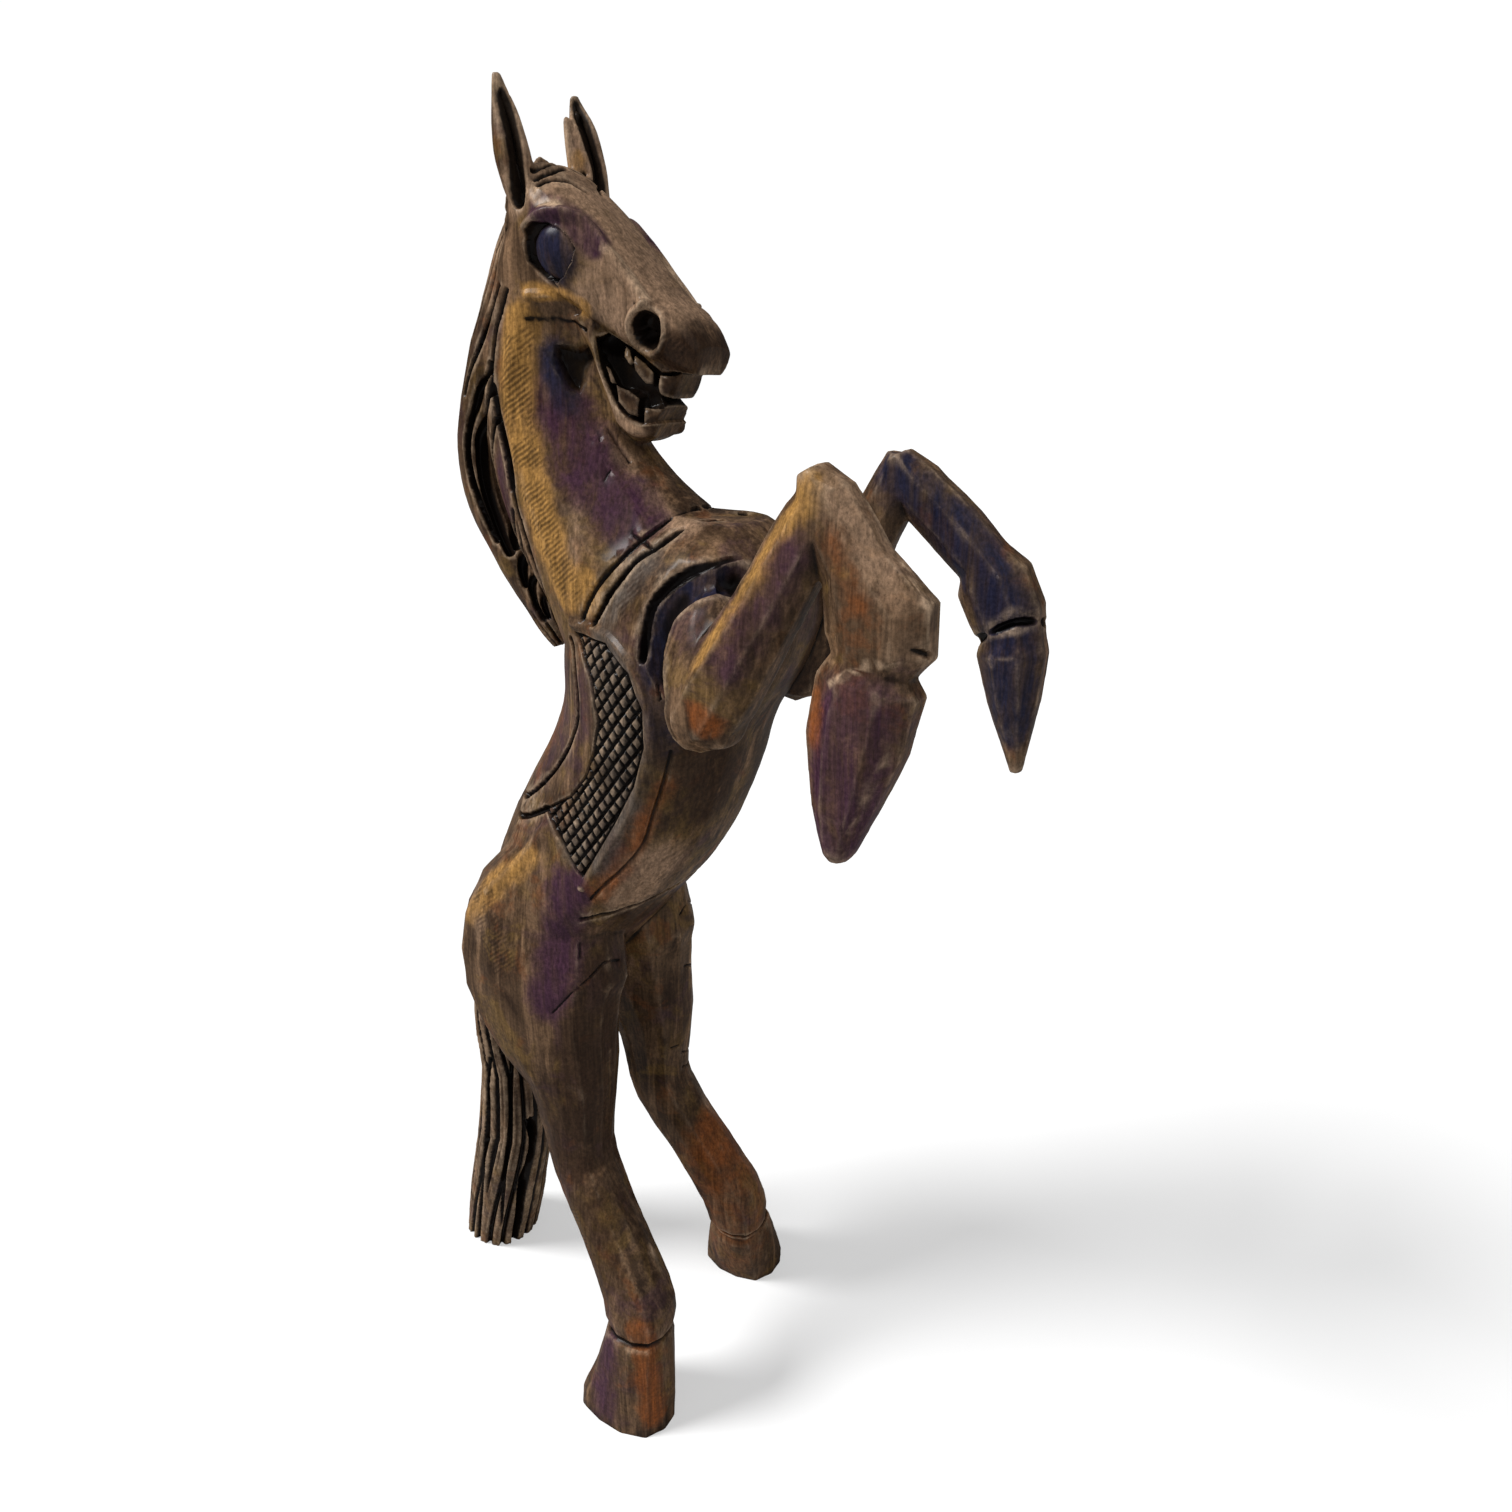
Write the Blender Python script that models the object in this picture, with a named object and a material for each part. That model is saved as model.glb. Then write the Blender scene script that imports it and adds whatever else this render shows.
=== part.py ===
"""A rearing horse carved from one block of wood, standing on its two hind hooves and its tail.

Metres, +Z up, nose towards +X, the horse's left side towards +Y.
"""

import math

import bmesh
import bpy
import numpy as np
from mathutils import Vector

# Driving sizes
HEIGHT = 1.70            # floor to ear tips
SHARE = HEIGHT / 170.0   # the figure's own unit: one centimetre at the real size
VOXEL = 0.004            # grain of the union that makes the forms one block
SOFTEN_STEPS = 4         # passes that round the ridges between facets
TRIANGLES = 9800         # facets left on the finished solid
WOOD_COLOUR = (0.13, 0.075, 0.045, 1.0)
WOOD_ROUGHNESS = 0.42

LEFT = 1.0
RIGHT = -1.0


def superellipse(angle, square):
    """Unit radius of a rounded box section: square 2 is an ellipse, higher is boxier."""
    c = abs(math.cos(angle)) ** square
    s = abs(math.sin(angle)) ** square
    return (c + s) ** (-1.0 / square)


def place_ring(verts, centre, side_axis, deep_axis, wide, deep, square, taper=0.0):
    """Moves one ring's vertices onto its section. Taper widens it towards the deep end."""
    count = len(verts)
    for i, vert in enumerate(verts):
        angle = 2 * math.pi * (i + 0.5) / count
        reach = superellipse(angle, square)
        deep_share = reach * math.sin(angle)
        wide_share = reach * math.cos(angle) * (1 + taper * deep_share)
        vert.co = centre + side_axis * (wide * wide_share) + deep_axis * (deep * deep_share)


def loft(bm, rings, count):
    """One closed body through rings of section values, capped at both ends."""
    verts = bmesh.ops.create_circle(bm, segments=count, radius=1.0)["verts"]
    place_ring(verts, *rings[0])
    bmesh.ops.contextual_create(bm, geom=verts)
    for ring in rings[1:]:
        held = set(verts)
        edges = {e for v in verts for e in v.link_edges if e.other_vert(v) in held}
        grown = bmesh.ops.extrude_edge_only(bm, edges=list(edges))["geom"]
        fresh = {v for v in grown if isinstance(v, bmesh.types.BMVert)}
        verts = [next(e.other_vert(v) for e in v.link_edges if e.other_vert(v) in fresh)
                 for v in verts]
        place_ring(verts, *ring)
    bmesh.ops.contextual_create(bm, geom=verts)


def smooth_rows(rows, steps):
    """Rows of numbers with steps - 1 more between each two, on a curve through them all."""
    rows = np.array(rows, dtype=float)
    last = len(rows) - 1
    dense = []
    for i in range(last):
        p0, p1, p2, p3 = rows[max(i - 1, 0)], rows[i], rows[i + 1], rows[min(i + 2, last)]
        for k in range(steps):
            t = k / steps
            dense.append(0.5 * (2 * p1 + (p2 - p0) * t + (2 * p0 - 5 * p1 + 4 * p2 - p3) * t ** 2
                                + (3 * p1 - p0 - 3 * p2 + p3) * t ** 3))
    dense.append(rows[last])
    return dense


def slices(profile, square, taper, steps=4):
    """Rings of a form on the middle plane, from (ax, az, bx, bz, half width) in shares."""
    rings = []
    for ax, az, bx, bz, wide in smooth_rows(profile, steps):
        a = Vector((ax, 0, az)) * SHARE
        b = Vector((bx, 0, bz)) * SHARE
        half = (b - a) / 2
        rings.append(((a + b) / 2, Vector((0, 1, 0)), half.normalized(),
                      wide * SHARE, half.length, square, taper))
    return rings


def limb(path, square, steps=1):
    """Rings of a limb along a path of (x, y, z, half width, half depth) in shares."""
    path = smooth_rows(path, steps)
    centres = [Vector(p[:3]) * SHARE for p in path]
    rings = []
    for i, p in enumerate(path):
        before = centres[max(i - 1, 0)]
        after = centres[min(i + 1, len(path) - 1)]
        along = (after - before).normalized()
        deep_axis = Vector((0, 1, 0)).cross(along).normalized()
        side_axis = along.cross(deep_axis).normalized()
        rings.append((centres[i], side_axis, deep_axis, p[3] * SHARE, p[4] * SHARE, square))
    return rings


# Middle forms in shares, from the back or top edge to the belly or lower edge
TORSO = [
    (-33.5, 56.0, -19.0, 52.0, 5.0),
    (-33.0, 62.0, -17.0, 57.0, 9.0),
    (-31.0, 69.5, -14.0, 62.0, 12.0),
    (-28.5, 76.5, -9.0, 68.0, 12.8),
    (-26.0, 83.5, -3.0, 75.0, 13.0),
    (-21.4, 91.5, 3.0, 82.2, 12.6),
    (-17.0, 98.5, 6.9, 89.0, 12.4),
    (-14.4, 104.5, 9.6, 96.0, 12.6),
    (-14.0, 110.0, 11.6, 102.3, 12.8),
    (-13.2, 115.0, 15.6, 109.0, 12.6),
    (-10.0, 120.0, 18.0, 116.2, 11.5),
    (-5.0, 124.0, 16.4, 121.6, 9.0),
    (0.0, 126.5, 11.8, 125.6, 5.0),
]
NECK = [
    (-11.0, 106.0, 17.0, 112.0, 10.5),
    (-15.0, 114.0, 14.0, 121.0, 9.8),
    (-19.5, 121.0, 6.3, 125.6, 8.8),
    (-22.5, 128.0, 0.2, 129.8, 7.8),
    (-24.0, 134.5, -4.0, 134.5, 7.0),
    (-24.2, 141.0, -5.6, 140.5, 6.4),
    (-22.8, 147.5, -6.8, 147.0, 5.8),
    (-20.2, 153.5, -8.6, 152.0, 5.4),
    (-17.0, 159.0, -9.0, 155.0, 5.0),
]
SKULL = [
    (-17.0, 161.0, -18.8, 152.0, 4.5),
    (-13.2, 162.0, -16.5, 149.5, 5.6),
    (-8.6, 158.8, -12.5, 147.8, 6.1),
    (-4.8, 155.2, -8.8, 146.0, 5.6),
    (-1.0, 151.3, -5.2, 143.9, 5.0),
    (2.0, 148.3, -1.0, 142.0, 4.7),
    (4.8, 146.0, 2.6, 140.6, 4.6),
    (6.5, 143.4, 5.4, 139.9, 3.4),
]
JAW = [
    (-6.0, 147.0, -11.0, 146.0, 4.6),
    (-4.0, 143.0, -8.2, 140.5, 4.4),
    (-1.5, 139.5, -6.0, 136.2, 4.2),
    (1.0, 137.6, -3.2, 133.4, 3.9),
    (2.9, 137.2, 0.2, 133.6, 3.0),
]
TEETH = [
    (-6.0, 145.0, -7.5, 142.0, 3.6),
    (-3.0, 144.0, -5.0, 139.0, 3.8),
    (0.5, 142.5, -1.5, 137.0, 3.7),
    (3.0, 141.5, 1.2, 136.0, 3.3),
    (4.4, 141.2, 2.8, 136.8, 2.4),
]
MANE = [
    (-15.8, 163.0, -12.0, 157.0, 2.2),
    (-20.5, 156.5, -15.5, 153.0, 4.0),
    (-25.0, 146.5, -18.5, 144.5, 5.4),
    (-27.6, 139.0, -20.5, 138.0, 6.2),
    (-28.8, 132.5, -21.5, 131.5, 6.7),
    (-27.6, 125.5, -20.0, 125.0, 6.8),
    (-24.0, 118.5, -16.5, 119.0, 6.4),
    (-20.8, 113.0, -13.5, 114.0, 5.4),
    (-18.8, 109.8, -13.0, 111.5, 4.4),
    (-17.4, 108.0, -14.0, 109.4, 3.0),
]

# Limbs in shares: x, y, z, half width, half depth
TAIL = [
    (-29.0, 0.0, 64.0, 3.5, 3.5),
    (-32.0, 0.0, 58.0, 4.0, 4.0),
    (-33.4, 0.0, 50.0, 4.6, 4.2),
    (-32.4, 0.3, 40.0, 5.4, 4.8),
    (-34.0, 1.0, 28.0, 5.8, 5.6),
    (-38.2, 2.4, 14.0, 5.9, 6.0),
    (-42.8, 4.2, 0.0, 5.8, 5.8),
    (-43.5, 4.5, -2.0, 5.8, 5.8),
]
HAUNCH = [
    (-8.0, 4.5, 91.0, 2.0, 2.5),
    (-10.6, 6.0, 85.5, 4.4, 5.0),
    (-14.0, 6.8, 78.5, 6.1, 9.2),
    (-16.6, 7.6, 71.0, 7.1, 12.4),
    (-16.8, 8.2, 64.0, 7.1, 12.6),
    (-14.4, 8.9, 57.0, 6.3, 9.6),
    (-12.0, 9.3, 50.5, 5.2, 6.4),
    (-11.6, 9.4, 43.0, 4.3, 4.9),
    (-10.6, 9.6, 37.5, 4.1, 4.6),
]
RIGHT_SHANK = [
    (-5.3, 10.8, 28.5, 4.0, 4.5),
    (-0.9, 12.0, 20.5, 4.3, 4.9),
    (0.2, 12.6, 15.8, 4.4, 5.0),
    (0.1, 12.8, 14.0, 3.9, 4.3),
    (0.2, 12.8, 12.8, 4.5, 4.9),
    (-1.1, 12.8, 6.0, 4.7, 5.9),
    (-2.5, 12.8, 0.0, 5.0, 7.3),
    (-2.9, 12.8, -2.0, 5.1, 7.6),
]
LEFT_SHANK = [
    (-5.5, 11.2, 28.2, 4.0, 4.5),
    (-1.2, 13.4, 18.8, 4.3, 4.8),
    (-0.4, 14.4, 13.6, 4.4, 4.6),
    (-0.5, 14.9, 12.0, 3.9, 4.1),
    (-0.6, 15.3, 10.9, 4.5, 4.8),
    (-1.3, 17.2, 5.5, 4.9, 5.8),
    (-2.2, 19.2, 0.0, 5.3, 6.6),
    (-2.5, 19.9, -2.0, 5.4, 6.9),
]
RIGHT_UPPER_ARM = [
    (10.0, 7.0, 120.0, 3.4, 3.6),
    (11.8, 10.6, 115.5, 4.2, 4.8),
    (13.0, 12.8, 110.0, 4.5, 5.0),
    (13.4, 13.7, 105.8, 3.8, 4.0),
    (13.4, 13.9, 104.6, 2.6, 2.6),
]
RIGHT_FOREARM = [
    (11.4, 13.9, 104.8, 2.4, 2.2),
    (13.0, 14.0, 107.2, 3.9, 4.2),
    (15.0, 14.0, 110.4, 4.1, 4.4),
    (20.2, 13.5, 119.0, 3.4, 3.6),
    (25.2, 13.0, 128.0, 2.9, 3.3),
    (27.0, 13.0, 131.6, 2.4, 2.2),
]
RIGHT_CANNON = [
    (24.6, 13.0, 132.6, 2.2, 1.4),
    (26.0, 13.0, 130.0, 2.8, 3.2),
    (29.6, 13.0, 124.0, 3.2, 3.7),
    (32.1, 13.0, 119.6, 3.5, 5.7),
    (32.2, 13.0, 117.0, 3.5, 5.3),
    (31.5, 13.1, 115.2, 3.1, 4.2),
    (31.4, 13.2, 113.4, 3.8, 5.4),
    (30.3, 13.4, 107.5, 3.8, 5.2),
    (29.3, 13.7, 100.5, 3.2, 3.4),
    (28.9, 14.0, 96.0, 2.2, 1.8),
    (28.9, 14.0, 95.0, 1.4, 1.0),
]
LEFT_UPPER_ARM = [
    (8.0, 6.6, 119.0, 3.4, 3.6),
    (9.2, 9.4, 114.0, 4.2, 4.8),
    (10.2, 11.2, 108.5, 4.5, 5.0),
    (10.6, 11.9, 104.4, 3.8, 4.0),
    (10.6, 12.0, 103.2, 2.6, 2.6),
]
LEFT_FOREARM = [
    (8.8, 12.0, 103.2, 2.4, 2.2),
    (10.6, 12.0, 105.8, 3.9, 4.2),
    (12.4, 12.0, 109.2, 4.1, 4.4),
    (17.5, 12.0, 119.0, 3.4, 3.5),
    (22.3, 12.0, 128.3, 2.9, 3.0),
    (23.2, 12.0, 132.4, 2.0, 1.8),
]
LEFT_CANNON = [
    (22.5, 12.0, 132.2, 2.4, 1.6),
    (24.6, 12.2, 129.0, 3.0, 3.2),
    (30.2, 12.6, 124.0, 3.2, 3.3),
    (33.0, 12.8, 121.2, 3.3, 3.2),
    (34.2, 13.0, 119.3, 3.6, 4.4),
    (36.0, 13.0, 115.5, 3.6, 4.3),
    (36.8, 13.0, 112.9, 3.2, 3.7),
    (37.0, 13.0, 111.2, 3.6, 4.0),
    (37.6, 13.0, 106.0, 2.9, 3.1),
    (38.5, 13.0, 97.2, 0.8, 0.8),
]
RIGHT_EAR = [
    (-13.8, 4.2, 155.0, 1.5, 1.6),
    (-14.8, 4.6, 158.5, 1.6, 1.8),
    (-15.3, 5.0, 162.0, 1.7, 2.1),
    (-15.8, 5.2, 165.5, 1.3, 1.7),
    (-16.2, 5.4, 168.0, 0.8, 1.0),
    (-16.4, 5.5, 169.7, 0.45, 0.5),
]
LEFT_EAR = [
    (-11.5, 4.4, 155.0, 1.5, 1.7),
    (-12.4, 4.8, 158.5, 1.6, 1.9),
    (-13.2, 5.1, 162.0, 1.6, 2.2),
    (-14.0, 5.3, 165.5, 1.3, 1.8),
    (-14.8, 5.4, 168.0, 0.8, 1.0),
    (-15.2, 5.5, 169.4, 0.45, 0.5),
]
# The left ear's inner leaf is split from it and ends lower
LEFT_EAR_LEAF = [
    (-12.4, 3.6, 156.0, 1.0, 1.2),
    (-13.6, 3.7, 160.5, 0.9, 1.1),
    (-14.6, 3.8, 164.5, 0.7, 0.8),
    (-15.2, 3.9, 167.2, 0.3, 0.3),
]

# Cuts in shares: half width, depth and the stops of a line on the right side, mirrored to the left
CUTS = [
    # Breast strap: a thin line and two thick ones
    (0.5, 0.6, [(4.4, -0.6, 126.7), (2.5, -5.6, 125.2), (-0.3, -8.2, 122.3), (-3.9, -9.9, 117.8),
                (-5.4, -10.1, 114.8)]),
    (0.7, 0.9, [(8.3, -2.4, 126.2), (4.1, -7.9, 123.8), (1.3, -8.9, 121.8), (-0.9, -9.8, 118.8),
                (-3.4, -10.4, 114.7)]),
    (0.8, 1.1, [(14.8, -6.1, 123.2), (11.4, -9.2, 122.8), (8.8, -10.4, 121.5), (6.3, -11.3, 119.3),
                (5.1, -11.8, 117.0), (4.7, -13.0, 112.2)]),
    # Scooped shoulder inside the strap
    (2.4, 1.9, [(14.1, -9.0, 121.0), (9.8, -11.6, 119.8), (7.6, -12.8, 117.2), (7.3, -13.6, 113.4),
                (8.8, -14.6, 109.2)]),
    # Seat edge, cantle, skirt, belly crease and thigh seam
    (0.6, 0.9, [(-7.9, -9.3, 112.0), (-6.4, -10.4, 107.7), (-6.1, -10.8, 103.6), (-8.3, -10.1, 99.4),
                (-11.6, -9.3, 95.3), (-15.0, -8.4, 92.4), (-19.4, -6.6, 89.5), (-21.2, 0.0, 89.0)]),
    (0.6, 0.8, [(-22.4, 0.0, 86.8), (-19.2, -8.0, 87.2), (-11.9, -10.7, 90.7)]),
    (0.6, 0.7, [(7.1, -11.4, 101.6), (6.0, -11.4, 97.7), (4.4, -11.4, 93.6), (2.7, -11.2, 89.4),
                (0.0, -11.8, 85.8), (-2.4, -12.3, 83.4), (-4.6, -12.5, 80.9)]),
    (0.7, 0.8, [(-6.4, -12.4, 77.6), (-3.9, -10.8, 78.2), (-1.4, -8.2, 78.9), (0.6, -4.2, 79.6),
                (1.3, 0.0, 80.1)]),
    (0.5, 0.6, [(-10.0, -14.3, 64.6), (-7.3, -12.3, 68.1), (-5.3, -10.6, 70.7), (-4.9, -7.1, 69.6)]),
    # Side of the neck: the edge of the mane and the broad hollow in front of the ridge
    (0.8, 0.9, [(-17.1, -5.8, 149.2), (-18.4, -6.1, 145.2), (-20.0, -6.2, 140.0), (-19.7, -6.1, 133.4),
                (-16.8, -6.9, 128.0), (-14.1, -7.3, 121.4), (-15.2, -4.6, 114.5)]),
    (3.4, 0.6, [(-14.0, -4.1, 145.2), (-12.7, -5.2, 140.0), (-11.3, -6.5, 135.8), (-6.9, -7.2, 129.6),
                (-2.3, -8.2, 124.6)]),
    # Hollow behind the jaw
    (3.2, 1.4, [(-12.0, -5.2, 145.2), (-9.6, -5.3, 143.0), (-8.0, -5.4, 139.8), (-6.4, -5.8, 136.4)]),
    # Forelock
    (0.5, 0.5, [(-12.7, -4.5, 160.5), (-13.4, -0.6, 161.9), (-12.6, 3.7, 161.9)]),
    (0.5, 0.5, [(-12.1, -5.1, 159.4), (-10.6, -3.2, 159.9), (-10.1, -0.9, 160.0), (-9.5, 2.0, 159.4)]),
    # Ear hollow
    (1.0, 1.2, [(-15.2, -6.0, 167.0), (-14.6, -6.3, 165.0), (-13.9, -6.5, 161.9), (-14.5, -6.3, 157.8)]),
]
# Cuts on the left side alone: the hollow of the ear that the right ear's leaf does not have
LEFT_CUTS = [
    (0.9, 1.0, [(-13.8, 4.7, 167.2), (-12.4, 4.5, 165.0), (-11.3, 4.4, 162.4), (-10.9, 4.4, 159.8)]),
]
# Ridges left standing, in the same form
RIDGES = [
    (1.4, 0.4, [(-15.1, -5.1, 148.2), (-16.6, -6.5, 141.0), (-17.0, -6.9, 136.8), (-13.9, -7.7, 128.3),
                (-10.1, -8.5, 120.8), (-8.3, -8.6, 115.2)]),
    (0.8, 0.4, [(-7.3, -9.7, 114.0), (-1.0, -11.7, 113.8), (3.6, -13.0, 110.8), (5.4, -13.3, 106.6),
                (5.3, -13.1, 102.0), (3.6, -12.9, 96.7), (0.4, -12.8, 91.0), (-5.2, -13.1, 82.6)]),
    (0.8, 0.3, [(-12.4, -10.3, 91.0), (-9.2, -12.4, 87.5), (-5.6, -13.1, 82.6)]),
    (1.4, 0.5, [(-12.0, -11.5, 88.1), (-16.5, -11.4, 82.9), (-21.5, -12.2, 77.7)]),
    (1.0, 0.4, [(-13.3, -5.9, 155.2), (-11.3, -6.0, 156.3), (-8.8, -5.7, 156.4), (-6.0, -4.8, 155.4),
                (-3.4, -4.6, 152.1), (-1.2, -4.5, 149.7), (0.6, -4.5, 147.4)]),
    (0.9, 0.4, [(-14.1, -5.2, 148.6), (-8.6, -5.1, 148.1), (-6.6, -4.6, 146.5), (-6.4, -4.5, 143.5),
                (-5.4, -4.3, 138.5), (-4.0, -4.1, 135.8), (-1.8, -3.8, 134.6), (0.8, -2.6, 134.4)]),
]

# Saddle panel: the outline of its field in side view, and the two ways its lattice runs
PANEL = [(-7.2, 113.2), (-1.0, 113.0), (3.0, 110.4), (4.7, 106.6), (4.6, 102.0), (2.9, 97.0), (-0.3, 91.5),
         (-5.2, 83.7), (-8.8, 87.9), (-12.2, 90.9), (-7.5, 93.7), (-4.7, 96.9), (-3.1, 100.3), (-2.1, 104.1),
         (-3.4, 108.4)]
LATTICE_WAYS = [(0.82, 0.57), (0.77, -0.64)]
LATTICE_SPACING = 1.9
LATTICE_GROOVE = 0.42    # width of a groove as a share of the spacing
LATTICE_DEPTH = 0.5

# Open mouth in side view, and the faces of the teeth that stand in it, upper ones first
MOUTH = [(-6.2, 144.4), (-5.0, 144.7), (-3.3, 143.9), (-2.0, 143.1), (-0.5, 142.1), (1.4, 141.0), (4.0, 140.6),
         (8.0, 140.1), (8.0, 135.0), (5.5, 135.4), (2.1, 135.6), (-0.8, 135.3), (-2.7, 136.1), (-4.5, 137.6),
         (-5.7, 140.2), (-6.0, 143.0)]
TEETH_FACES = [
    [(-3.6, 143.8), (-2.6, 143.2), (-1.6, 141.8), (-2.4, 141.3), (-3.3, 142.4)],
    [(-2.3, 143.0), (-0.5, 142.0), (0.7, 141.0), (0.6, 139.3), (-0.6, 139.4), (-1.9, 140.9)],
    [(1.1, 140.9), (4.0, 140.5), (4.1, 137.6), (2.8, 137.4), (1.1, 138.3), (0.9, 139.2)],
    [(4.5, 140.4), (7.8, 140.1), (7.8, 138.0), (6.1, 137.5), (4.6, 137.5)],
    [(-5.5, 141.9), (-4.4, 141.3), (-3.7, 139.5), (-4.7, 139.4)],
    [(-4.1, 139.8), (-2.5, 139.2), (-1.1, 138.2), (-1.2, 136.0), (-2.6, 136.3), (-4.0, 137.6)],
    [(-0.7, 137.5), (1.1, 136.8), (4.3, 136.6), (4.3, 135.4), (0.6, 135.4), (-0.8, 135.4)],
]
MOUTH_DEPTH = 1.6
TOOTH_SINK = 0.4         # the teeth lie this far below the lips

# Eye in side view: its socket, and centre x, z and radius of the ball
SOCKET = [(-14.1, 152.0), (-14.1, 153.6), (-13.3, 154.9), (-12.1, 155.6), (-10.2, 155.5), (-8.7, 154.9),
          (-7.6, 153.9), (-7.0, 152.8), (-7.5, 151.5), (-8.9, 150.1), (-10.4, 149.5), (-12.0, 150.1),
          (-13.2, 151.0)]
SOCKET_DEPTH = 0.9
EYE_BALL = (-10.1, 152.6, 2.6)
EYE_BULGE = 1.3
NOSTRIL = (0.8, 144.8, 1.95)
NOSTRIL_DEPTH = 1.8
NOSTRIL_RIM = 0.3

# The mane lies behind this line in side view
MANE_FIELD = [(-17.1, 150.0), (-18.6, 145.2), (-20.2, 140.0), (-19.9, 133.4), (-17.0, 128.0), (-14.5, 121.4),
              (-15.0, 112.0), (-15.0, 104.0), (-30.0, 104.0), (-38.0, 130.0), (-30.0, 156.0), (-16.5, 164.0)]
MANE_LOCKS = 13          # grooves round the mane
MANE_DEPTH = 0.7
TAIL_LOCKS = 13          # grooves round the tail
TAIL_DEPTH = 0.6
TAIL_TOP = 62.0


def on_side(path, side):
    """The same path on the given side of the middle plane."""
    return [(x, y * side, z, wide, deep) for x, y, z, wide, deep in path]


def forms():
    """Every form as (rings, points in a ring)."""
    yield slices(TORSO, 2.2, 0.28), 32
    yield slices(NECK, 2.2, -0.22), 32
    yield slices(SKULL, 2.8, -0.08), 24
    yield slices(JAW, 2.6, 0.0), 24
    yield slices(TEETH, 2.6, 0.0), 24
    yield slices(MANE, 2.2, 0.2), 20
    yield limb(TAIL, 2.4, 3), 16
    yield limb(on_side(HAUNCH + RIGHT_SHANK, RIGHT), 2.5, 2), 12
    yield limb(on_side(HAUNCH + LEFT_SHANK, LEFT), 2.5, 2), 12
    yield limb(on_side(RIGHT_UPPER_ARM, RIGHT), 2.5, 3), 12
    yield limb(on_side(LEFT_UPPER_ARM, LEFT), 2.5, 3), 12
    yield limb(on_side(RIGHT_FOREARM, RIGHT), 2.7), 8
    yield limb(on_side(RIGHT_CANNON, RIGHT), 2.7), 8
    yield limb(on_side(LEFT_FOREARM, LEFT), 2.7), 8
    yield limb(on_side(LEFT_CANNON, LEFT), 2.7), 8
    yield limb(on_side(RIGHT_EAR, RIGHT), 2.2, 3), 12
    yield limb(on_side(LEFT_EAR, LEFT), 2.2, 3), 12
    yield limb(on_side(LEFT_EAR_LEAF, LEFT), 2.2, 3), 12


def rough_block():
    """All forms as overlapping closed bodies in one mesh object."""
    bm = bmesh.new()
    for rings, count in forms():
        loft(bm, rings, count)
    bmesh.ops.recalc_face_normals(bm, faces=bm.faces)
    mesh = bpy.data.meshes.new("horse")
    bm.to_mesh(mesh)
    bm.free()
    horse = bpy.data.objects.new("horse", mesh)
    bpy.context.scene.collection.objects.link(horse)
    return horse


def apply_modifiers(horse):
    depsgraph = bpy.context.evaluated_depsgraph_get()
    mesh = bpy.data.meshes.new_from_object(horse.evaluated_get(depsgraph))
    horse.modifiers.clear()
    horse.data = mesh


def unite(horse):
    """One closed skin round all the forms, its ridges softened."""
    remesh = horse.modifiers.new("union", "REMESH")
    remesh.mode = "VOXEL"
    remesh.voxel_size = VOXEL
    soften = horse.modifiers.new("soften", "SMOOTH")
    soften.factor = 0.5
    soften.iterations = SOFTEN_STEPS
    apply_modifiers(horse)


def follow(points, stops):
    """Offset of every point from a line of stops, and how far along it the nearest place is, 0 to 1."""
    nearest = np.full(len(points), np.inf)
    offset = np.zeros_like(points)
    share = np.zeros(len(points))
    for i in range(len(stops) - 1):
        span = stops[i + 1] - stops[i]
        t = np.clip((points - stops[i]) @ span / (span @ span), 0.0, 1.0)
        away = points - stops[i] - t[:, None] * span
        gap = np.linalg.norm(away, axis=1)
        closer = gap < nearest
        nearest[closer] = gap[closer]
        offset[closer] = away[closer]
        share[closer] = (i + t[closer]) / (len(stops) - 1)
    return offset, share


def gouge(points, half_width, line):
    """1 on a smooth line through its stops, falling to 0 at the half width, like a gouge cut."""
    stops = np.array(smooth_rows(line, 3))
    near = np.all((points > stops.min(0) - half_width) & (points < stops.max(0) + half_width), axis=1)
    cut = np.zeros(len(points))
    gap = np.linalg.norm(follow(points[near], stops)[0], axis=1)
    cut[near] = np.clip(1.0 - (gap / half_width) ** 2, 0.0, 1.0)
    return cut


def inside(points, outline):
    """True where the side view of a point lies inside a closed outline of (x, z)."""
    x = points[:, 0]
    z = points[:, 2]
    odd = np.zeros(len(points), dtype=bool)
    for (x0, z0), (x1, z1) in zip(outline, outline[1:] + outline[:1]):
        crosses = (z0 > z) != (z1 > z)
        rise = (z1 - z0) or 1.0
        odd ^= crosses & (x < x0 + (z - z0) * (x1 - x0) / rise)
    return odd


def ring_share(points, centre_x, centre_z, radius):
    """Side view distance from a centre as a share of the radius."""
    return np.hypot(points[:, 0] - centre_x, points[:, 2] - centre_z) / radius


def lattice(points):
    """Two families of straight grooves over the saddle panel."""
    cut = np.zeros(len(points))
    for way_x, way_z in LATTICE_WAYS:
        place = (points[:, 0] * way_x + points[:, 2] * way_z) / LATTICE_SPACING
        from_line = np.abs(place - np.round(place)) / (LATTICE_GROOVE / 2)
        cut = np.maximum(cut, LATTICE_DEPTH * np.clip(1.0 - from_line ** 2, 0.0, 1.0))
    return cut * inside(points, PANEL)


def locks(points, middle, wide, deep, count, depth, sway):
    """Wavy grooves running down a hank of hair, spread evenly round its middle line."""
    offset, share = follow(points, middle)
    angle = np.arctan2(offset[:, 1] / wide, np.hypot(offset[:, 0], offset[:, 2])
                       * np.sign(offset[:, 0]) / deep)
    wave = np.cos(count * angle + sway * np.sin(3.0 * math.pi * share))
    return depth * np.clip((wave - 0.1) / 0.9, 0.0, 1.0)


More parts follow.
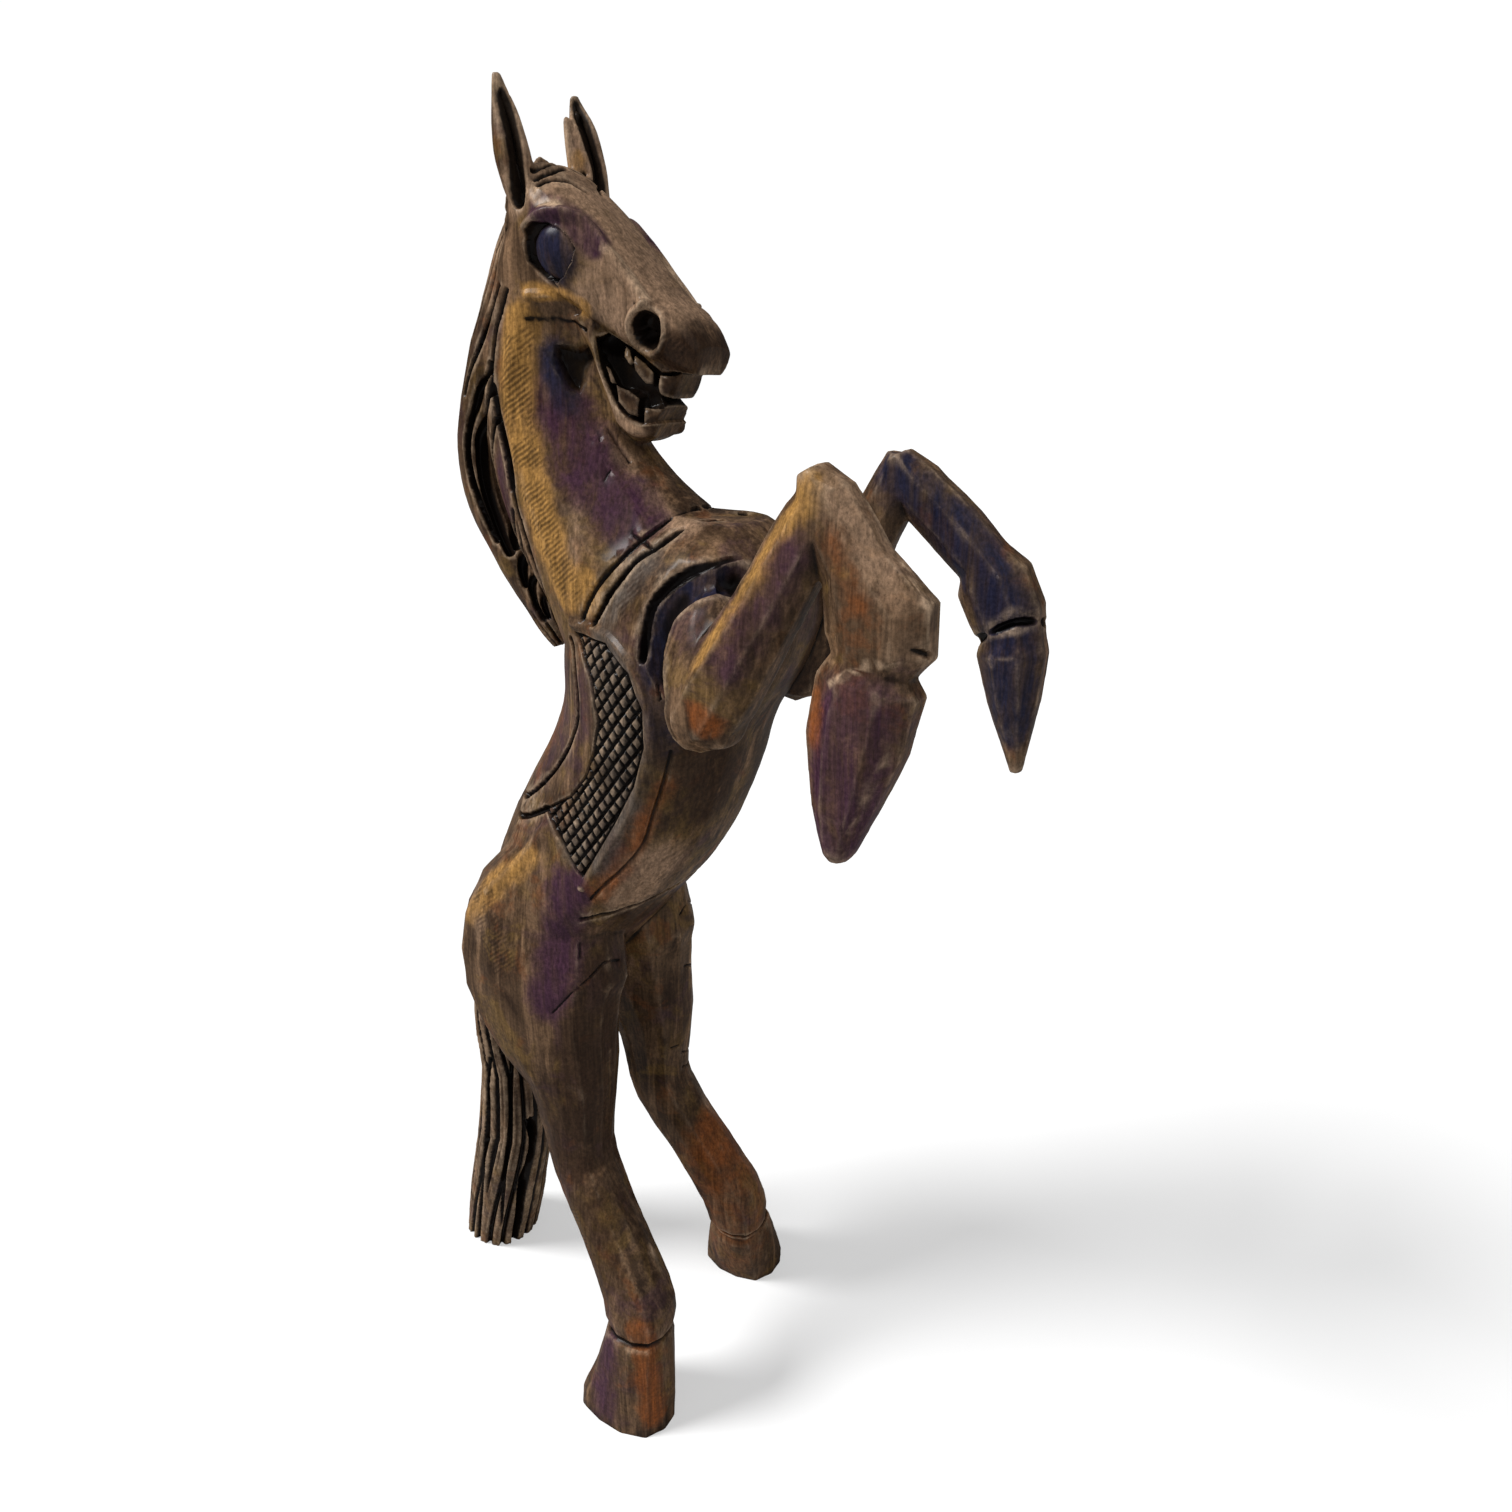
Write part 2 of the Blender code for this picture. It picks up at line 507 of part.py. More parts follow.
def mane_relief(points):
    rows = np.array(MANE)
    middle = np.stack([(rows[:, 0] + rows[:, 2]) / 2, 0 * rows[:, 0], (rows[:, 1] + rows[:, 3]) / 2], 1)
    return inside(points, MANE_FIELD) * locks(points, middle, 6.0, 4.0, MANE_LOCKS, MANE_DEPTH, 1.8)


def tail_relief(points):
    middle = np.array(TAIL)[:, :3]
    grooves = locks(points, middle, 5.0, 5.0, TAIL_LOCKS, TAIL_DEPTH, 1.2)
    start = np.clip((TAIL_TOP - points[:, 2]) / 5.0, 0.0, 1.0)
    return grooves * start * (points[:, 0] < -27.0)


def face_relief(points):
    """Eye, nostril and mouth: positive cuts in, negative stands out."""
    ball = ring_share(points, *EYE_BALL)
    eye = SOCKET_DEPTH * inside(points, SOCKET)
    eye -= EYE_BULGE * np.sqrt(np.clip(1.0 - ball ** 2, 0.0, 1.0))
    bore = ring_share(points, *NOSTRIL)
    nostril = NOSTRIL_DEPTH * np.clip(5.0 * (1.0 - bore), 0.0, 1.0)
    nostril -= NOSTRIL_RIM * np.clip(1.0 - (np.abs(bore - 1.15) / 0.25) ** 2, 0.0, 1.0)
    mouth = MOUTH_DEPTH * inside(points, MOUTH)
    for tooth in TEETH_FACES:
        mouth[inside(points, tooth)] = TOOTH_SINK
    return eye + nostril + mouth


def relief(points):
    """How deep the carving goes below the plain form at every point, in shares."""
    right = points.copy()
    right[:, 1] = -np.abs(right[:, 1])
    cut = lattice(right)
    for half_width, depth, line in CUTS:
        cut = np.maximum(cut, depth * gouge(right, half_width, line))
    for half_width, depth, line in LEFT_CUTS:
        cut = np.maximum(cut, depth * gouge(points, half_width, line))
    for half_width, height, line in RIDGES:
        cut = cut - height * gouge(right, half_width, line) ** 2
    return cut + face_relief(right) + mane_relief(points) + tail_relief(points)


def carve(horse):
    """Moves every point of the skin in or out along its normal by the relief."""
    mesh = horse.data
    count = len(mesh.vertices)
    points = np.zeros(count * 3)
    normals = np.zeros(count * 3)
    mesh.vertices.foreach_get("co", points)
    mesh.vertices.foreach_get("normal", normals)
    points = points.reshape(-1, 3)
    normals = normals.reshape(-1, 3)
    moved = points - normals * (relief(points / SHARE) * SHARE)[:, None]
    mesh.vertices.foreach_set("co", moved.ravel())
    mesh.update()


def simplify(horse):
    decimate = horse.modifiers.new("facets", "DECIMATE")
    decimate.ratio = TRIANGLES / sum(len(p.vertices) - 2 for p in horse.data.polygons)
    apply_modifiers(horse)


def cut_soles(horse):
    """Flat soles: everything below the floor is cut off and closed."""
    bm = bmesh.new()
    bm.from_mesh(horse.data)
    geom = list(bm.verts) + list(bm.edges) + list(bm.faces)
    cut = bmesh.ops.bisect_plane(bm, geom=geom, plane_co=(0, 0, 0), plane_no=(0, 0, 1),
                                 clear_inner=True)
    rim = [e for e in cut["geom_cut"] if isinstance(e, bmesh.types.BMEdge)]
    bmesh.ops.edgeloop_fill(bm, edges=rim)
    bmesh.ops.triangulate(bm, faces=bm.faces)
    bmesh.ops.recalc_face_normals(bm, faces=bm.faces)
    bm.to_mesh(horse.data)
    bm.free()


def centre_on_origin(horse):
    """Puts the middle of the box the horse fills over the origin."""
    xs = [v.co.x for v in horse.data.vertices]
    ys = [v.co.y for v in horse.data.vertices]
    middle = Vector(((min(xs) + max(xs)) / 2, (min(ys) + max(ys)) / 2, 0))
    for v in horse.data.vertices:
        v.co -= middle


def stain(horse):
    """Brown satin varnish."""
    wood = bpy.data.materials.new("stained wood")
    wood.use_nodes = True
    shader = wood.node_tree.nodes["Principled BSDF"]
    shader.inputs["Base Color"].default_value = WOOD_COLOUR
    shader.inputs["Roughness"].default_value = WOOD_ROUGHNESS
    horse.data.materials.clear()
    horse.data.materials.append(wood)


def main():
    for old in list(bpy.data.objects):
        bpy.data.objects.remove(old)
    horse = rough_block()
    unite(horse)
    carve(horse)
    simplify(horse)
    cut_soles(horse)
    centre_on_origin(horse)
    stain(horse)


main()
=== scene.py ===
"""A rearing horse carved from one block of wood, stained in patches and varnished, in a pale studio.

Metres, +Z up, nose towards +X, the horse's left side towards +Y.
"""

import math

import bmesh
import bpy
import numpy as np
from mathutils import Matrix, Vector


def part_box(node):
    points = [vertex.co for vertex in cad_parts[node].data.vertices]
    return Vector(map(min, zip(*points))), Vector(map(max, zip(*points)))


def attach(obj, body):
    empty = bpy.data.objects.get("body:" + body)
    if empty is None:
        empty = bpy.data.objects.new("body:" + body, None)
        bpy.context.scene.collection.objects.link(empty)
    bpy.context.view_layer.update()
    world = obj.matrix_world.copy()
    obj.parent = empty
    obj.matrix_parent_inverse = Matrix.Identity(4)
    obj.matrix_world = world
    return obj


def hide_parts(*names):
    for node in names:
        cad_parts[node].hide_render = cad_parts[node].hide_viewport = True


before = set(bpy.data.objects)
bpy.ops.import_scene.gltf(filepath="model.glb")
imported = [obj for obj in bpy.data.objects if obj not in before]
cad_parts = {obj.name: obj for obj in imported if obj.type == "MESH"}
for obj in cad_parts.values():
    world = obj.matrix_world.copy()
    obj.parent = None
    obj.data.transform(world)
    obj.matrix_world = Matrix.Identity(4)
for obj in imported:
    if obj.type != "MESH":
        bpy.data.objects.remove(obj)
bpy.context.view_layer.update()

# Sizes
HEIGHT = 1.70            # floor to ear tips
SHARE = HEIGHT / 170.0   # the figure's own unit: one centimetre at the real size
SLICE_STEPS = 4          # rings made from each row of a middle form
VOXEL = 0.0022           # grain of the union that makes the forms one block
SOFTEN_STEPS = 7         # passes that round the ridges between facets
SOFTEN_FACTOR = 0.5
TRIANGLES = 192000       # faces aimed at for the finished carving

LEFT = 1.0
RIGHT = -1.0

rng = np.random.default_rng(7)


# Lofted forms

def superellipse(angle, square):
    """Unit radius of a rounded box section: square 2 is an ellipse, higher is boxier."""
    c = abs(math.cos(angle)) ** square
    s = abs(math.sin(angle)) ** square
    return (c + s) ** (-1.0 / square)


def place_ring(verts, centre, side_axis, deep_axis, wide, deep, square, taper=0.0):
    """Moves one ring's vertices onto its section. Taper widens it towards the deep end."""
    count = len(verts)
    for i, vert in enumerate(verts):
        angle = 2 * math.pi * (i + 0.5) / count
        reach = superellipse(angle, square)
        deep_share = reach * math.sin(angle)
        wide_share = reach * math.cos(angle) * (1 + taper * deep_share)
        vert.co = centre + side_axis * (wide * wide_share) + deep_axis * (deep * deep_share)


def loft(bm, rings, count):
    """One closed body through rings of section values, capped at both ends."""
    verts = bmesh.ops.create_circle(bm, segments=count, radius=1.0)["verts"]
    place_ring(verts, *rings[0])
    bmesh.ops.contextual_create(bm, geom=verts)
    for ring in rings[1:]:
        held = set(verts)
        edges = {e for v in verts for e in v.link_edges if e.other_vert(v) in held}
        grown = bmesh.ops.extrude_edge_only(bm, edges=list(edges))["geom"]
        fresh = {v for v in grown if isinstance(v, bmesh.types.BMVert)}
        verts = [next(e.other_vert(v) for e in v.link_edges if e.other_vert(v) in fresh)
                 for v in verts]
        place_ring(verts, *ring)
    bmesh.ops.contextual_create(bm, geom=verts)


def smooth_rows(rows, steps):
    """Rows of numbers with steps - 1 more between each two, on a curve through them all."""
    rows = np.array(rows, dtype=float)
    last = len(rows) - 1
    dense = []
    for i in range(last):
        p0, p1, p2, p3 = rows[max(i - 1, 0)], rows[i], rows[i + 1], rows[min(i + 2, last)]
        for k in range(steps):
            t = k / steps
            dense.append(0.5 * (2 * p1 + (p2 - p0) * t + (2 * p0 - 5 * p1 + 4 * p2 - p3) * t ** 2
                                + (3 * p1 - p0 - 3 * p2 + p3) * t ** 3))
    dense.append(rows[last])
    return dense


def slices(profile, square, taper):
    """Rings of a form on the middle plane, from (ax, az, bx, bz, half width) in shares."""
    rings = []
    for ax, az, bx, bz, wide in smooth_rows(profile, SLICE_STEPS):
        a = Vector((ax, 0, az)) * SHARE
        b = Vector((bx, 0, bz)) * SHARE
        half = (b - a) / 2
        rings.append(((a + b) / 2, Vector((0, 1, 0)), half.normalized(),
                      wide * SHARE, half.length, square, taper))
    return rings


def limb(path, square, steps):
    """Rings of a limb along a path of (x, y, z, half width, half depth) in shares."""
    path = smooth_rows(path, steps)
    centres = [Vector(p[:3]) * SHARE for p in path]
    rings = []
    for i, p in enumerate(path):
        before = centres[max(i - 1, 0)]
        after = centres[min(i + 1, len(path) - 1)]
        along = (after - before).normalized()
        deep_axis = Vector((0, 1, 0)).cross(along).normalized()
        side_axis = along.cross(deep_axis).normalized()
        rings.append((centres[i], side_axis, deep_axis, p[3] * SHARE, p[4] * SHARE, square))
    return rings


# Middle forms in shares, from the back or top edge to the belly or lower edge
TORSO = [
    (-33.5, 56.0, -19.0, 52.0, 5.0),
    (-33.0, 62.0, -17.0, 57.0, 9.0),
    (-31.0, 69.5, -14.0, 62.0, 12.0),
    (-28.5, 76.5, -9.0, 68.0, 12.8),
    (-26.0, 83.5, -3.0, 75.0, 13.0),
    (-21.4, 91.5, 3.0, 82.2, 12.6),
    (-17.0, 98.5, 6.9, 89.0, 12.4),
    (-14.4, 104.5, 9.6, 96.0, 12.6),
    (-14.0, 110.0, 11.6, 102.3, 12.8),
    (-13.2, 115.0, 15.6, 109.0, 12.6),
    (-10.0, 120.0, 18.0, 116.2, 11.5),
    (-5.0, 124.0, 16.4, 121.6, 9.0),
    (0.0, 126.5, 11.8, 125.6, 5.0),
]
NECK = [
    (-11.0, 106.0, 17.0, 112.0, 10.5),
    (-15.0, 114.0, 14.0, 121.0, 9.8),
    (-19.5, 121.0, 6.3, 125.6, 8.8),
    (-22.5, 128.0, 0.2, 129.8, 7.8),
    (-24.0, 134.5, -4.0, 134.5, 7.0),
    (-24.2, 141.0, -5.6, 140.5, 6.4),
    (-22.8, 147.5, -6.8, 147.0, 5.8),
    (-20.2, 153.5, -8.6, 152.0, 5.4),
    (-17.0, 159.0, -9.0, 155.0, 5.0),
]
SKULL = [
    (-17.0, 161.0, -18.8, 152.0, 4.5),
    (-13.2, 162.0, -16.5, 149.5, 5.6),
    (-8.6, 158.8, -12.5, 147.8, 6.1),
    (-4.8, 155.2, -8.8, 146.0, 5.6),
    (-1.0, 151.3, -5.2, 143.9, 5.0),
    (2.0, 148.3, -1.0, 142.0, 4.7),
    (4.8, 146.0, 2.6, 140.6, 4.6),
    (6.5, 143.4, 5.4, 139.9, 3.4),
]
JAW = [
    (-6.0, 147.0, -11.0, 146.0, 4.6),
    (-4.0, 143.0, -8.2, 140.5, 4.4),
    (-1.5, 139.5, -6.0, 136.2, 4.2),
    (1.0, 137.6, -3.2, 133.4, 3.9),
    (2.1, 137.6, -0.4, 133.8, 3.0),
]
TEETH = [
    (-6.0, 145.0, -7.5, 142.0, 3.6),
    (-3.0, 144.0, -5.0, 139.0, 3.8),
    (0.5, 142.5, -1.5, 137.0, 3.7),
    (3.0, 141.5, 0.9, 136.4, 3.3),
    (4.4, 141.2, 2.2, 137.4, 2.4),
]
MANE = [
    (-15.8, 163.0, -12.0, 157.0, 2.2),
    (-20.5, 156.5, -15.5, 153.0, 4.0),
    (-25.0, 146.5, -18.5, 144.5, 5.4),
    (-27.6, 139.0, -20.5, 138.0, 6.2),
    (-28.8, 132.5, -21.5, 131.5, 6.7),
    (-27.6, 125.5, -20.0, 125.0, 6.8),
    (-24.0, 118.5, -16.5, 119.0, 6.4),
    (-20.8, 113.0, -13.5, 114.0, 5.4),
    (-18.8, 109.8, -13.0, 111.5, 4.4),
    (-17.4, 108.0, -14.0, 109.4, 3.0),
]

# Limbs in shares: x, y, z, half width, half depth
TAIL = [
    (-29.0, 0.0, 64.0, 3.5, 3.5),
    (-32.0, 0.0, 58.0, 4.0, 4.0),
    (-33.4, 0.0, 50.0, 4.6, 4.2),
    (-32.4, 0.3, 40.0, 5.4, 4.8),
    (-34.0, 1.0, 28.0, 5.8, 5.6),
    (-38.2, 2.4, 14.0, 5.9, 6.0),
    (-42.8, 4.2, 0.0, 5.8, 5.8),
    (-43.5, 4.5, -2.0, 5.8, 5.8),
]
HAUNCH = [
    (-8.0, 4.5, 91.0, 2.0, 2.5),
    (-10.6, 6.0, 85.5, 4.4, 5.0),
    (-14.0, 6.8, 78.5, 6.1, 9.2),
    (-16.6, 7.6, 71.0, 7.1, 12.4),
    (-16.8, 8.2, 64.0, 7.1, 12.6),
    (-14.4, 8.9, 57.0, 6.3, 9.6),
    (-12.0, 9.3, 50.5, 5.2, 6.4),
    (-11.6, 9.4, 43.0, 4.3, 4.9),
    (-10.6, 9.6, 37.5, 4.1, 4.6),
]
RIGHT_SHANK = [
    (-5.3, 10.8, 28.5, 4.0, 4.5),
    (-0.9, 12.0, 21.6, 4.3, 4.9),
    (0.2, 12.6, 18.4, 4.4, 5.0),
    (0.1, 12.8, 16.6, 3.9, 4.3),
    (0.1, 12.8, 15.2, 4.4, 4.8),
    (-1.1, 12.8, 7.0, 4.7, 5.9),
    (-2.5, 12.8, 0.0, 5.0, 7.3),
    (-2.9, 12.8, -2.0, 5.1, 7.6),
]
LEFT_SHANK = [
    (-5.5, 11.2, 28.2, 4.0, 4.5),
    (-1.2, 13.4, 18.8, 4.3, 4.8),
    (-0.4, 14.4, 13.6, 4.4, 4.6),
    (-0.5, 14.9, 12.0, 3.9, 4.1),
    (-0.6, 15.3, 10.9, 4.5, 4.8),
    (-1.3, 17.2, 5.5, 4.9, 5.8),
    (-2.2, 19.2, 0.0, 5.3, 6.6),
    (-2.5, 19.9, -2.0, 5.4, 6.9),
]
RIGHT_UPPER_ARM = [
    (10.0, 7.0, 120.0, 3.4, 3.6),
    (11.8, 10.6, 115.5, 4.2, 4.8),
    (13.0, 12.8, 110.0, 4.5, 5.0),
    (13.4, 13.7, 105.8, 3.8, 4.0),
    (13.4, 13.9, 104.6, 2.6, 2.6),
]
RIGHT_FOREARM = [
    (11.4, 13.9, 104.8, 2.4, 2.2),
    (13.0, 14.0, 107.2, 3.9, 4.2),
    (15.0, 14.0, 110.4, 4.1, 4.4),
    (20.2, 13.5, 119.0, 3.4, 3.6),
    (25.2, 13.0, 128.0, 2.9, 3.3),
    (27.0, 13.0, 131.6, 2.4, 2.2),
]
RIGHT_CANNON = [
    (24.6, 13.0, 132.6, 2.2, 1.4),
    (26.0, 13.0, 130.0, 2.8, 3.2),
    (29.6, 13.0, 124.0, 3.2, 3.7),
    (32.1, 13.0, 119.6, 3.5, 5.7),
    (32.2, 13.0, 117.0, 3.5, 5.3),
    (31.5, 13.1, 115.2, 3.1, 4.2),
    (31.4, 13.2, 113.4, 3.8, 5.4),
    (30.3, 13.4, 107.5, 3.8, 5.2),
    (29.3, 13.7, 100.5, 3.2, 3.4),
    (28.9, 14.0, 96.0, 2.2, 1.8),
    (28.9, 14.0, 95.0, 1.4, 1.0),
]
LEFT_UPPER_ARM = [
    (8.0, 6.6, 119.0, 3.4, 3.6),
    (9.2, 9.4, 114.0, 4.2, 4.8),
    (10.2, 11.2, 108.5, 4.5, 5.0),
    (10.6, 11.9, 104.4, 3.8, 4.0),
    (10.6, 12.0, 103.2, 2.6, 2.6),
]
LEFT_FOREARM = [
    (8.8, 12.0, 103.2, 2.4, 2.2),
    (10.6, 12.0, 105.8, 3.9, 4.2),
    (12.4, 12.0, 109.2, 4.1, 4.4),
    (17.5, 12.0, 119.0, 3.4, 3.5),
    (22.3, 12.0, 128.3, 2.9, 3.0),
    (23.2, 12.0, 132.4, 2.0, 1.8),
]
LEFT_CANNON = [
    (22.5, 12.0, 132.2, 2.4, 1.6),
    (24.6, 12.2, 129.0, 3.0, 3.2),
    (30.2, 12.6, 124.0, 3.2, 3.3),
    (33.0, 12.8, 121.2, 3.3, 3.2),
    (34.2, 13.0, 119.3, 3.6, 4.4),
    (36.0, 13.0, 115.5, 3.6, 4.3),
    (36.8, 13.0, 112.9, 3.2, 3.7),
    (37.0, 13.0, 111.2, 3.6, 4.0),
    (37.6, 13.0, 106.0, 2.9, 3.1),
    (38.5, 13.0, 97.2, 0.8, 0.8),
]
RIGHT_EAR = [
    (-13.8, 4.2, 155.0, 1.5, 1.6),
    (-14.8, 4.6, 158.5, 1.6, 1.8),
    (-15.3, 5.0, 162.0, 1.7, 2.1),
    (-15.8, 5.2, 165.5, 1.3, 1.7),
    (-16.2, 5.4, 168.0, 0.8, 1.0),
    (-16.4, 5.5, 169.7, 0.45, 0.5),
]
LEFT_EAR = [
    (-11.5, 4.4, 155.0, 1.5, 1.7),
    (-12.4, 4.8, 158.5, 1.6, 1.9),
    (-13.2, 5.1, 162.0, 1.6, 2.2),
    (-14.0, 5.3, 165.5, 1.3, 1.8),
    (-14.8, 5.4, 168.0, 0.8, 1.0),
    (-15.2, 5.5, 169.4, 0.45, 0.5),
]
# The left ear's inner leaf is split from it and ends lower
LEFT_EAR_LEAF = [
    (-12.4, 3.6, 156.0, 1.0, 1.2),
    (-13.6, 3.7, 160.5, 0.9, 1.1),
    (-14.6, 3.8, 164.5, 0.7, 0.8),
    (-15.2, 3.9, 167.2, 0.3, 0.3),
]

# Middle forms: rows, squareness of the section, taper towards the lower edge, points in a ring
MIDDLE_FORMS = [
    (TORSO, 2.2, 0.28, 32),
    (NECK, 2.2, -0.22, 32),
    (SKULL, 2.8, -0.08, 24),
    (JAW, 2.6, 0.0, 24),
    (TEETH, 2.6, 0.0, 24),
    (MANE, 2.2, 0.2, 20),
]
# Limbs: rows, side, squareness of the section, rings made from each row, points in a ring
LIMBS = [
    (TAIL, LEFT, 2.4, 3, 16),
    (HAUNCH + RIGHT_SHANK, RIGHT, 2.5, 2, 12),
    (HAUNCH + LEFT_SHANK, LEFT, 2.5, 2, 12),
    (RIGHT_UPPER_ARM, RIGHT, 2.5, 3, 12),
    (LEFT_UPPER_ARM, LEFT, 2.5, 3, 12),
    (RIGHT_FOREARM, RIGHT, 2.7, 1, 8),
    (RIGHT_CANNON, RIGHT, 2.7, 1, 8),
    (LEFT_FOREARM, LEFT, 2.7, 1, 8),
    (LEFT_CANNON, LEFT, 2.7, 1, 8),
    (RIGHT_EAR, RIGHT, 2.2, 3, 12),
    (LEFT_EAR, LEFT, 2.2, 3, 12),
    (LEFT_EAR_LEAF, LEFT, 2.2, 3, 12),
]

# Cuts in shares: half width, depth and the stops of a line on the right side, mirrored to the left
CUTS = [
    # Breast strap: a thin line and two thick ones
    (0.4, 0.6, [(4.4, -0.6, 126.7), (2.5, -5.6, 125.2), (-0.3, -8.2, 122.3), (-3.9, -9.9, 117.8),
                (-5.4, -10.1, 114.8)]),
    (0.6, 1.0, [(8.3, -2.4, 126.2), (4.1, -7.9, 123.8), (1.3, -8.9, 121.8), (-0.9, -9.8, 118.8),
                (-3.4, -10.4, 114.7)]),
    (0.65, 1.2, [(14.8, -6.1, 123.2), (11.4, -9.2, 122.8), (8.8, -10.4, 121.5), (6.3, -11.3, 119.3),
                 (5.1, -11.8, 117.0), (4.7, -13.0, 112.2)]),
    # Seat edge, cantle, skirt and belly crease
    (0.5, 0.9, [(-7.9, -9.3, 112.0), (-6.4, -10.4, 107.7), (-6.1, -10.8, 103.6), (-8.3, -10.1, 99.4),
                (-11.6, -9.3, 95.3), (-15.0, -8.4, 92.4), (-19.4, -6.6, 89.5), (-21.2, 0.0, 89.0)]),
    (0.5, 0.8, [(-22.4, 0.0, 86.8), (-19.2, -8.0, 87.2), (-11.9, -10.7, 90.7)]),
    (0.35, 0.35, [(7.1, -11.4, 101.6), (6.0, -11.4, 97.7), (4.4, -11.4, 93.6), (2.7, -11.2, 89.4),
                  (0.0, -11.8, 85.8), (-2.4, -12.3, 83.4), (-4.6, -12.5, 80.9)]),
    (0.4, 0.5, [(-6.4, -12.4, 77.6), (-3.9, -10.8, 78.2), (-1.4, -8.2, 78.9), (0.6, -4.2, 79.6),
                (1.3, 0.0, 80.1)]),
    # Seam beside the mane, and the dark gap that it opens into
    (0.4, 0.6, [(-17.1, -5.8, 149.2), (-17.9, -5.9, 147.2), (-18.8, -6.0, 145.2), (-19.3, -6.1, 142.6),
                (-19.6, -6.4, 139.7)]),
    (0.75, 1.1, [(-19.4, -6.5, 139.0), (-18.7, -6.8, 136.8), (-17.8, -7.2, 134.0), (-17.0, -7.5, 131.2),
                 (-16.6, -7.7, 128.4)]),
    (0.5, 1.0, [(-16.6, -7.7, 129.0), (-16.0, -8.0, 126.2), (-15.0, -8.2, 123.6), (-14.0, -8.3, 121.0),
                (-13.2, -8.0, 118.0), (-13.1, -7.0, 115.0)]),
    # Ledge over the hollow behind the jaw
    (0.3, 0.6, [(-14.6, -5.8, 146.3), (-12.2, -5.2, 146.3), (-10.1, -4.4, 146.1), (-7.3, -4.5, 145.0)]),
    # Forelock: gaps between its strands
    (0.4, 0.7, [(-13.0, -4.5, 160.7), (-12.6, -2.6, 161.5), (-13.2, 0.0, 161.9)]),
    (0.4, 0.7, [(-12.5, -4.9, 159.8), (-11.6, -3.6, 160.5), (-11.8, -0.7, 161.3)]),
    (0.35, 0.6, [(-12.0, -5.2, 159.2), (-10.7, -3.8, 159.8), (-9.8, -2.3, 159.6), (-8.6, -1.3, 158.7)]),
    # Ear hollow
    (1.0, 1.7, [(-15.3, -5.8, 167.4), (-14.6, -6.0, 165.3), (-14.0, -6.2, 163.3), (-13.9, -6.2, 160.6),
                (-14.4, -6.1, 157.8)]),
]
# Fine cuts and drying cracks on both sides, in the same form
CRACKS = [
    # Curls under the jaw
    (0.2, 0.3, [(-8.8, -4.3, 140.8), (-8.0, -4.0, 139.6), (-8.7, -4.6, 138.1)]),
    (0.2, 0.3, [(-7.6, -3.7, 140.2), (-6.8, -3.4, 138.4), (-7.7, -4.2, 136.9)]),
    (0.2, 0.3, [(-6.7, -3.3, 138.3), (-6.0, -3.0, 136.4), (-6.7, -4.1, 135.0)]),
    (0.2, 0.3, [(-8.1, -4.4, 137.5), (-7.1, -4.1, 135.8), (-6.2, -4.3, 133.7)]),
    (0.2, 0.25, [(-5.8, -3.3, 135.0), (-4.6, -3.1, 133.3), (-3.0, -3.2, 131.4)]),
    # Fold of the lid
    (0.22, 0.4, [(-13.4, -5.6, 152.2), (-12.6, -5.3, 150.9), (-11.4, -5.2, 149.9), (-10.5, -5.1, 149.2)]),
    # Haunch
    (0.18, 0.3, [(-4.9, -7.1, 69.7), (-5.3, -9.6, 70.6), (-6.2, -11.5, 69.1), (-8.2, -13.7, 66.8),
                 (-10.4, -14.4, 64.0)]),
    (0.18, 0.3, [(-7.3, -11.8, 73.7), (-7.2, -12.1, 71.9)]),
    # Elbow, neck and chest
    (0.2, 0.4, [(6.5, -13.1, 110.2), (7.0, -13.0, 108.0)]),
    (0.2, 0.4, [(10.7, -16.9, 107.5), (11.3, -16.5, 105.3)]),
    (0.22, 0.4, [(-4.5, -5.0, 130.6), (-5.0, -6.1, 129.1), (-5.7, -7.1, 127.5), (-6.7, -7.9, 126.3)]),
    (0.3, 0.4, [(-0.7, -7.1, 124.6), (0.9, -7.2, 123.7), (3.1, -8.2, 123.1)]),
]
# Broad hollows, in the same form: scooped shoulder, front of the neck ridge, behind the jaw
HOLLOWS = [
    (2.4, 1.9, [(14.1, -9.0, 121.0), (9.8, -11.6, 119.8), (7.6, -12.8, 117.2), (7.3, -13.6, 113.4),
                (8.8, -14.6, 109.2)]),
    (3.4, 0.6, [(-14.0, -4.1, 145.2), (-12.7, -5.2, 140.0), (-11.3, -6.5, 135.8), (-6.9, -7.2, 129.6),
                (-2.3, -8.2, 124.6)]),
    (3.2, 1.2, [(-12.0, -5.2, 145.2), (-9.6, -5.3, 143.0), (-8.0, -5.4, 139.8), (-6.4, -5.8, 136.4)]),
]
# Deep recess behind the jaw: side view outline, width of its sloping wall, and depth
JAW_RECESS = ([(-12.6, 144.4), (-10.4, 144.6), (-7.9, 143.9), (-7.1, 142.2), (-7.3, 139.8), (-8.3, 137.6),
               (-10.2, 138.6), (-12.0, 141.6)], 1.3, 1.9)
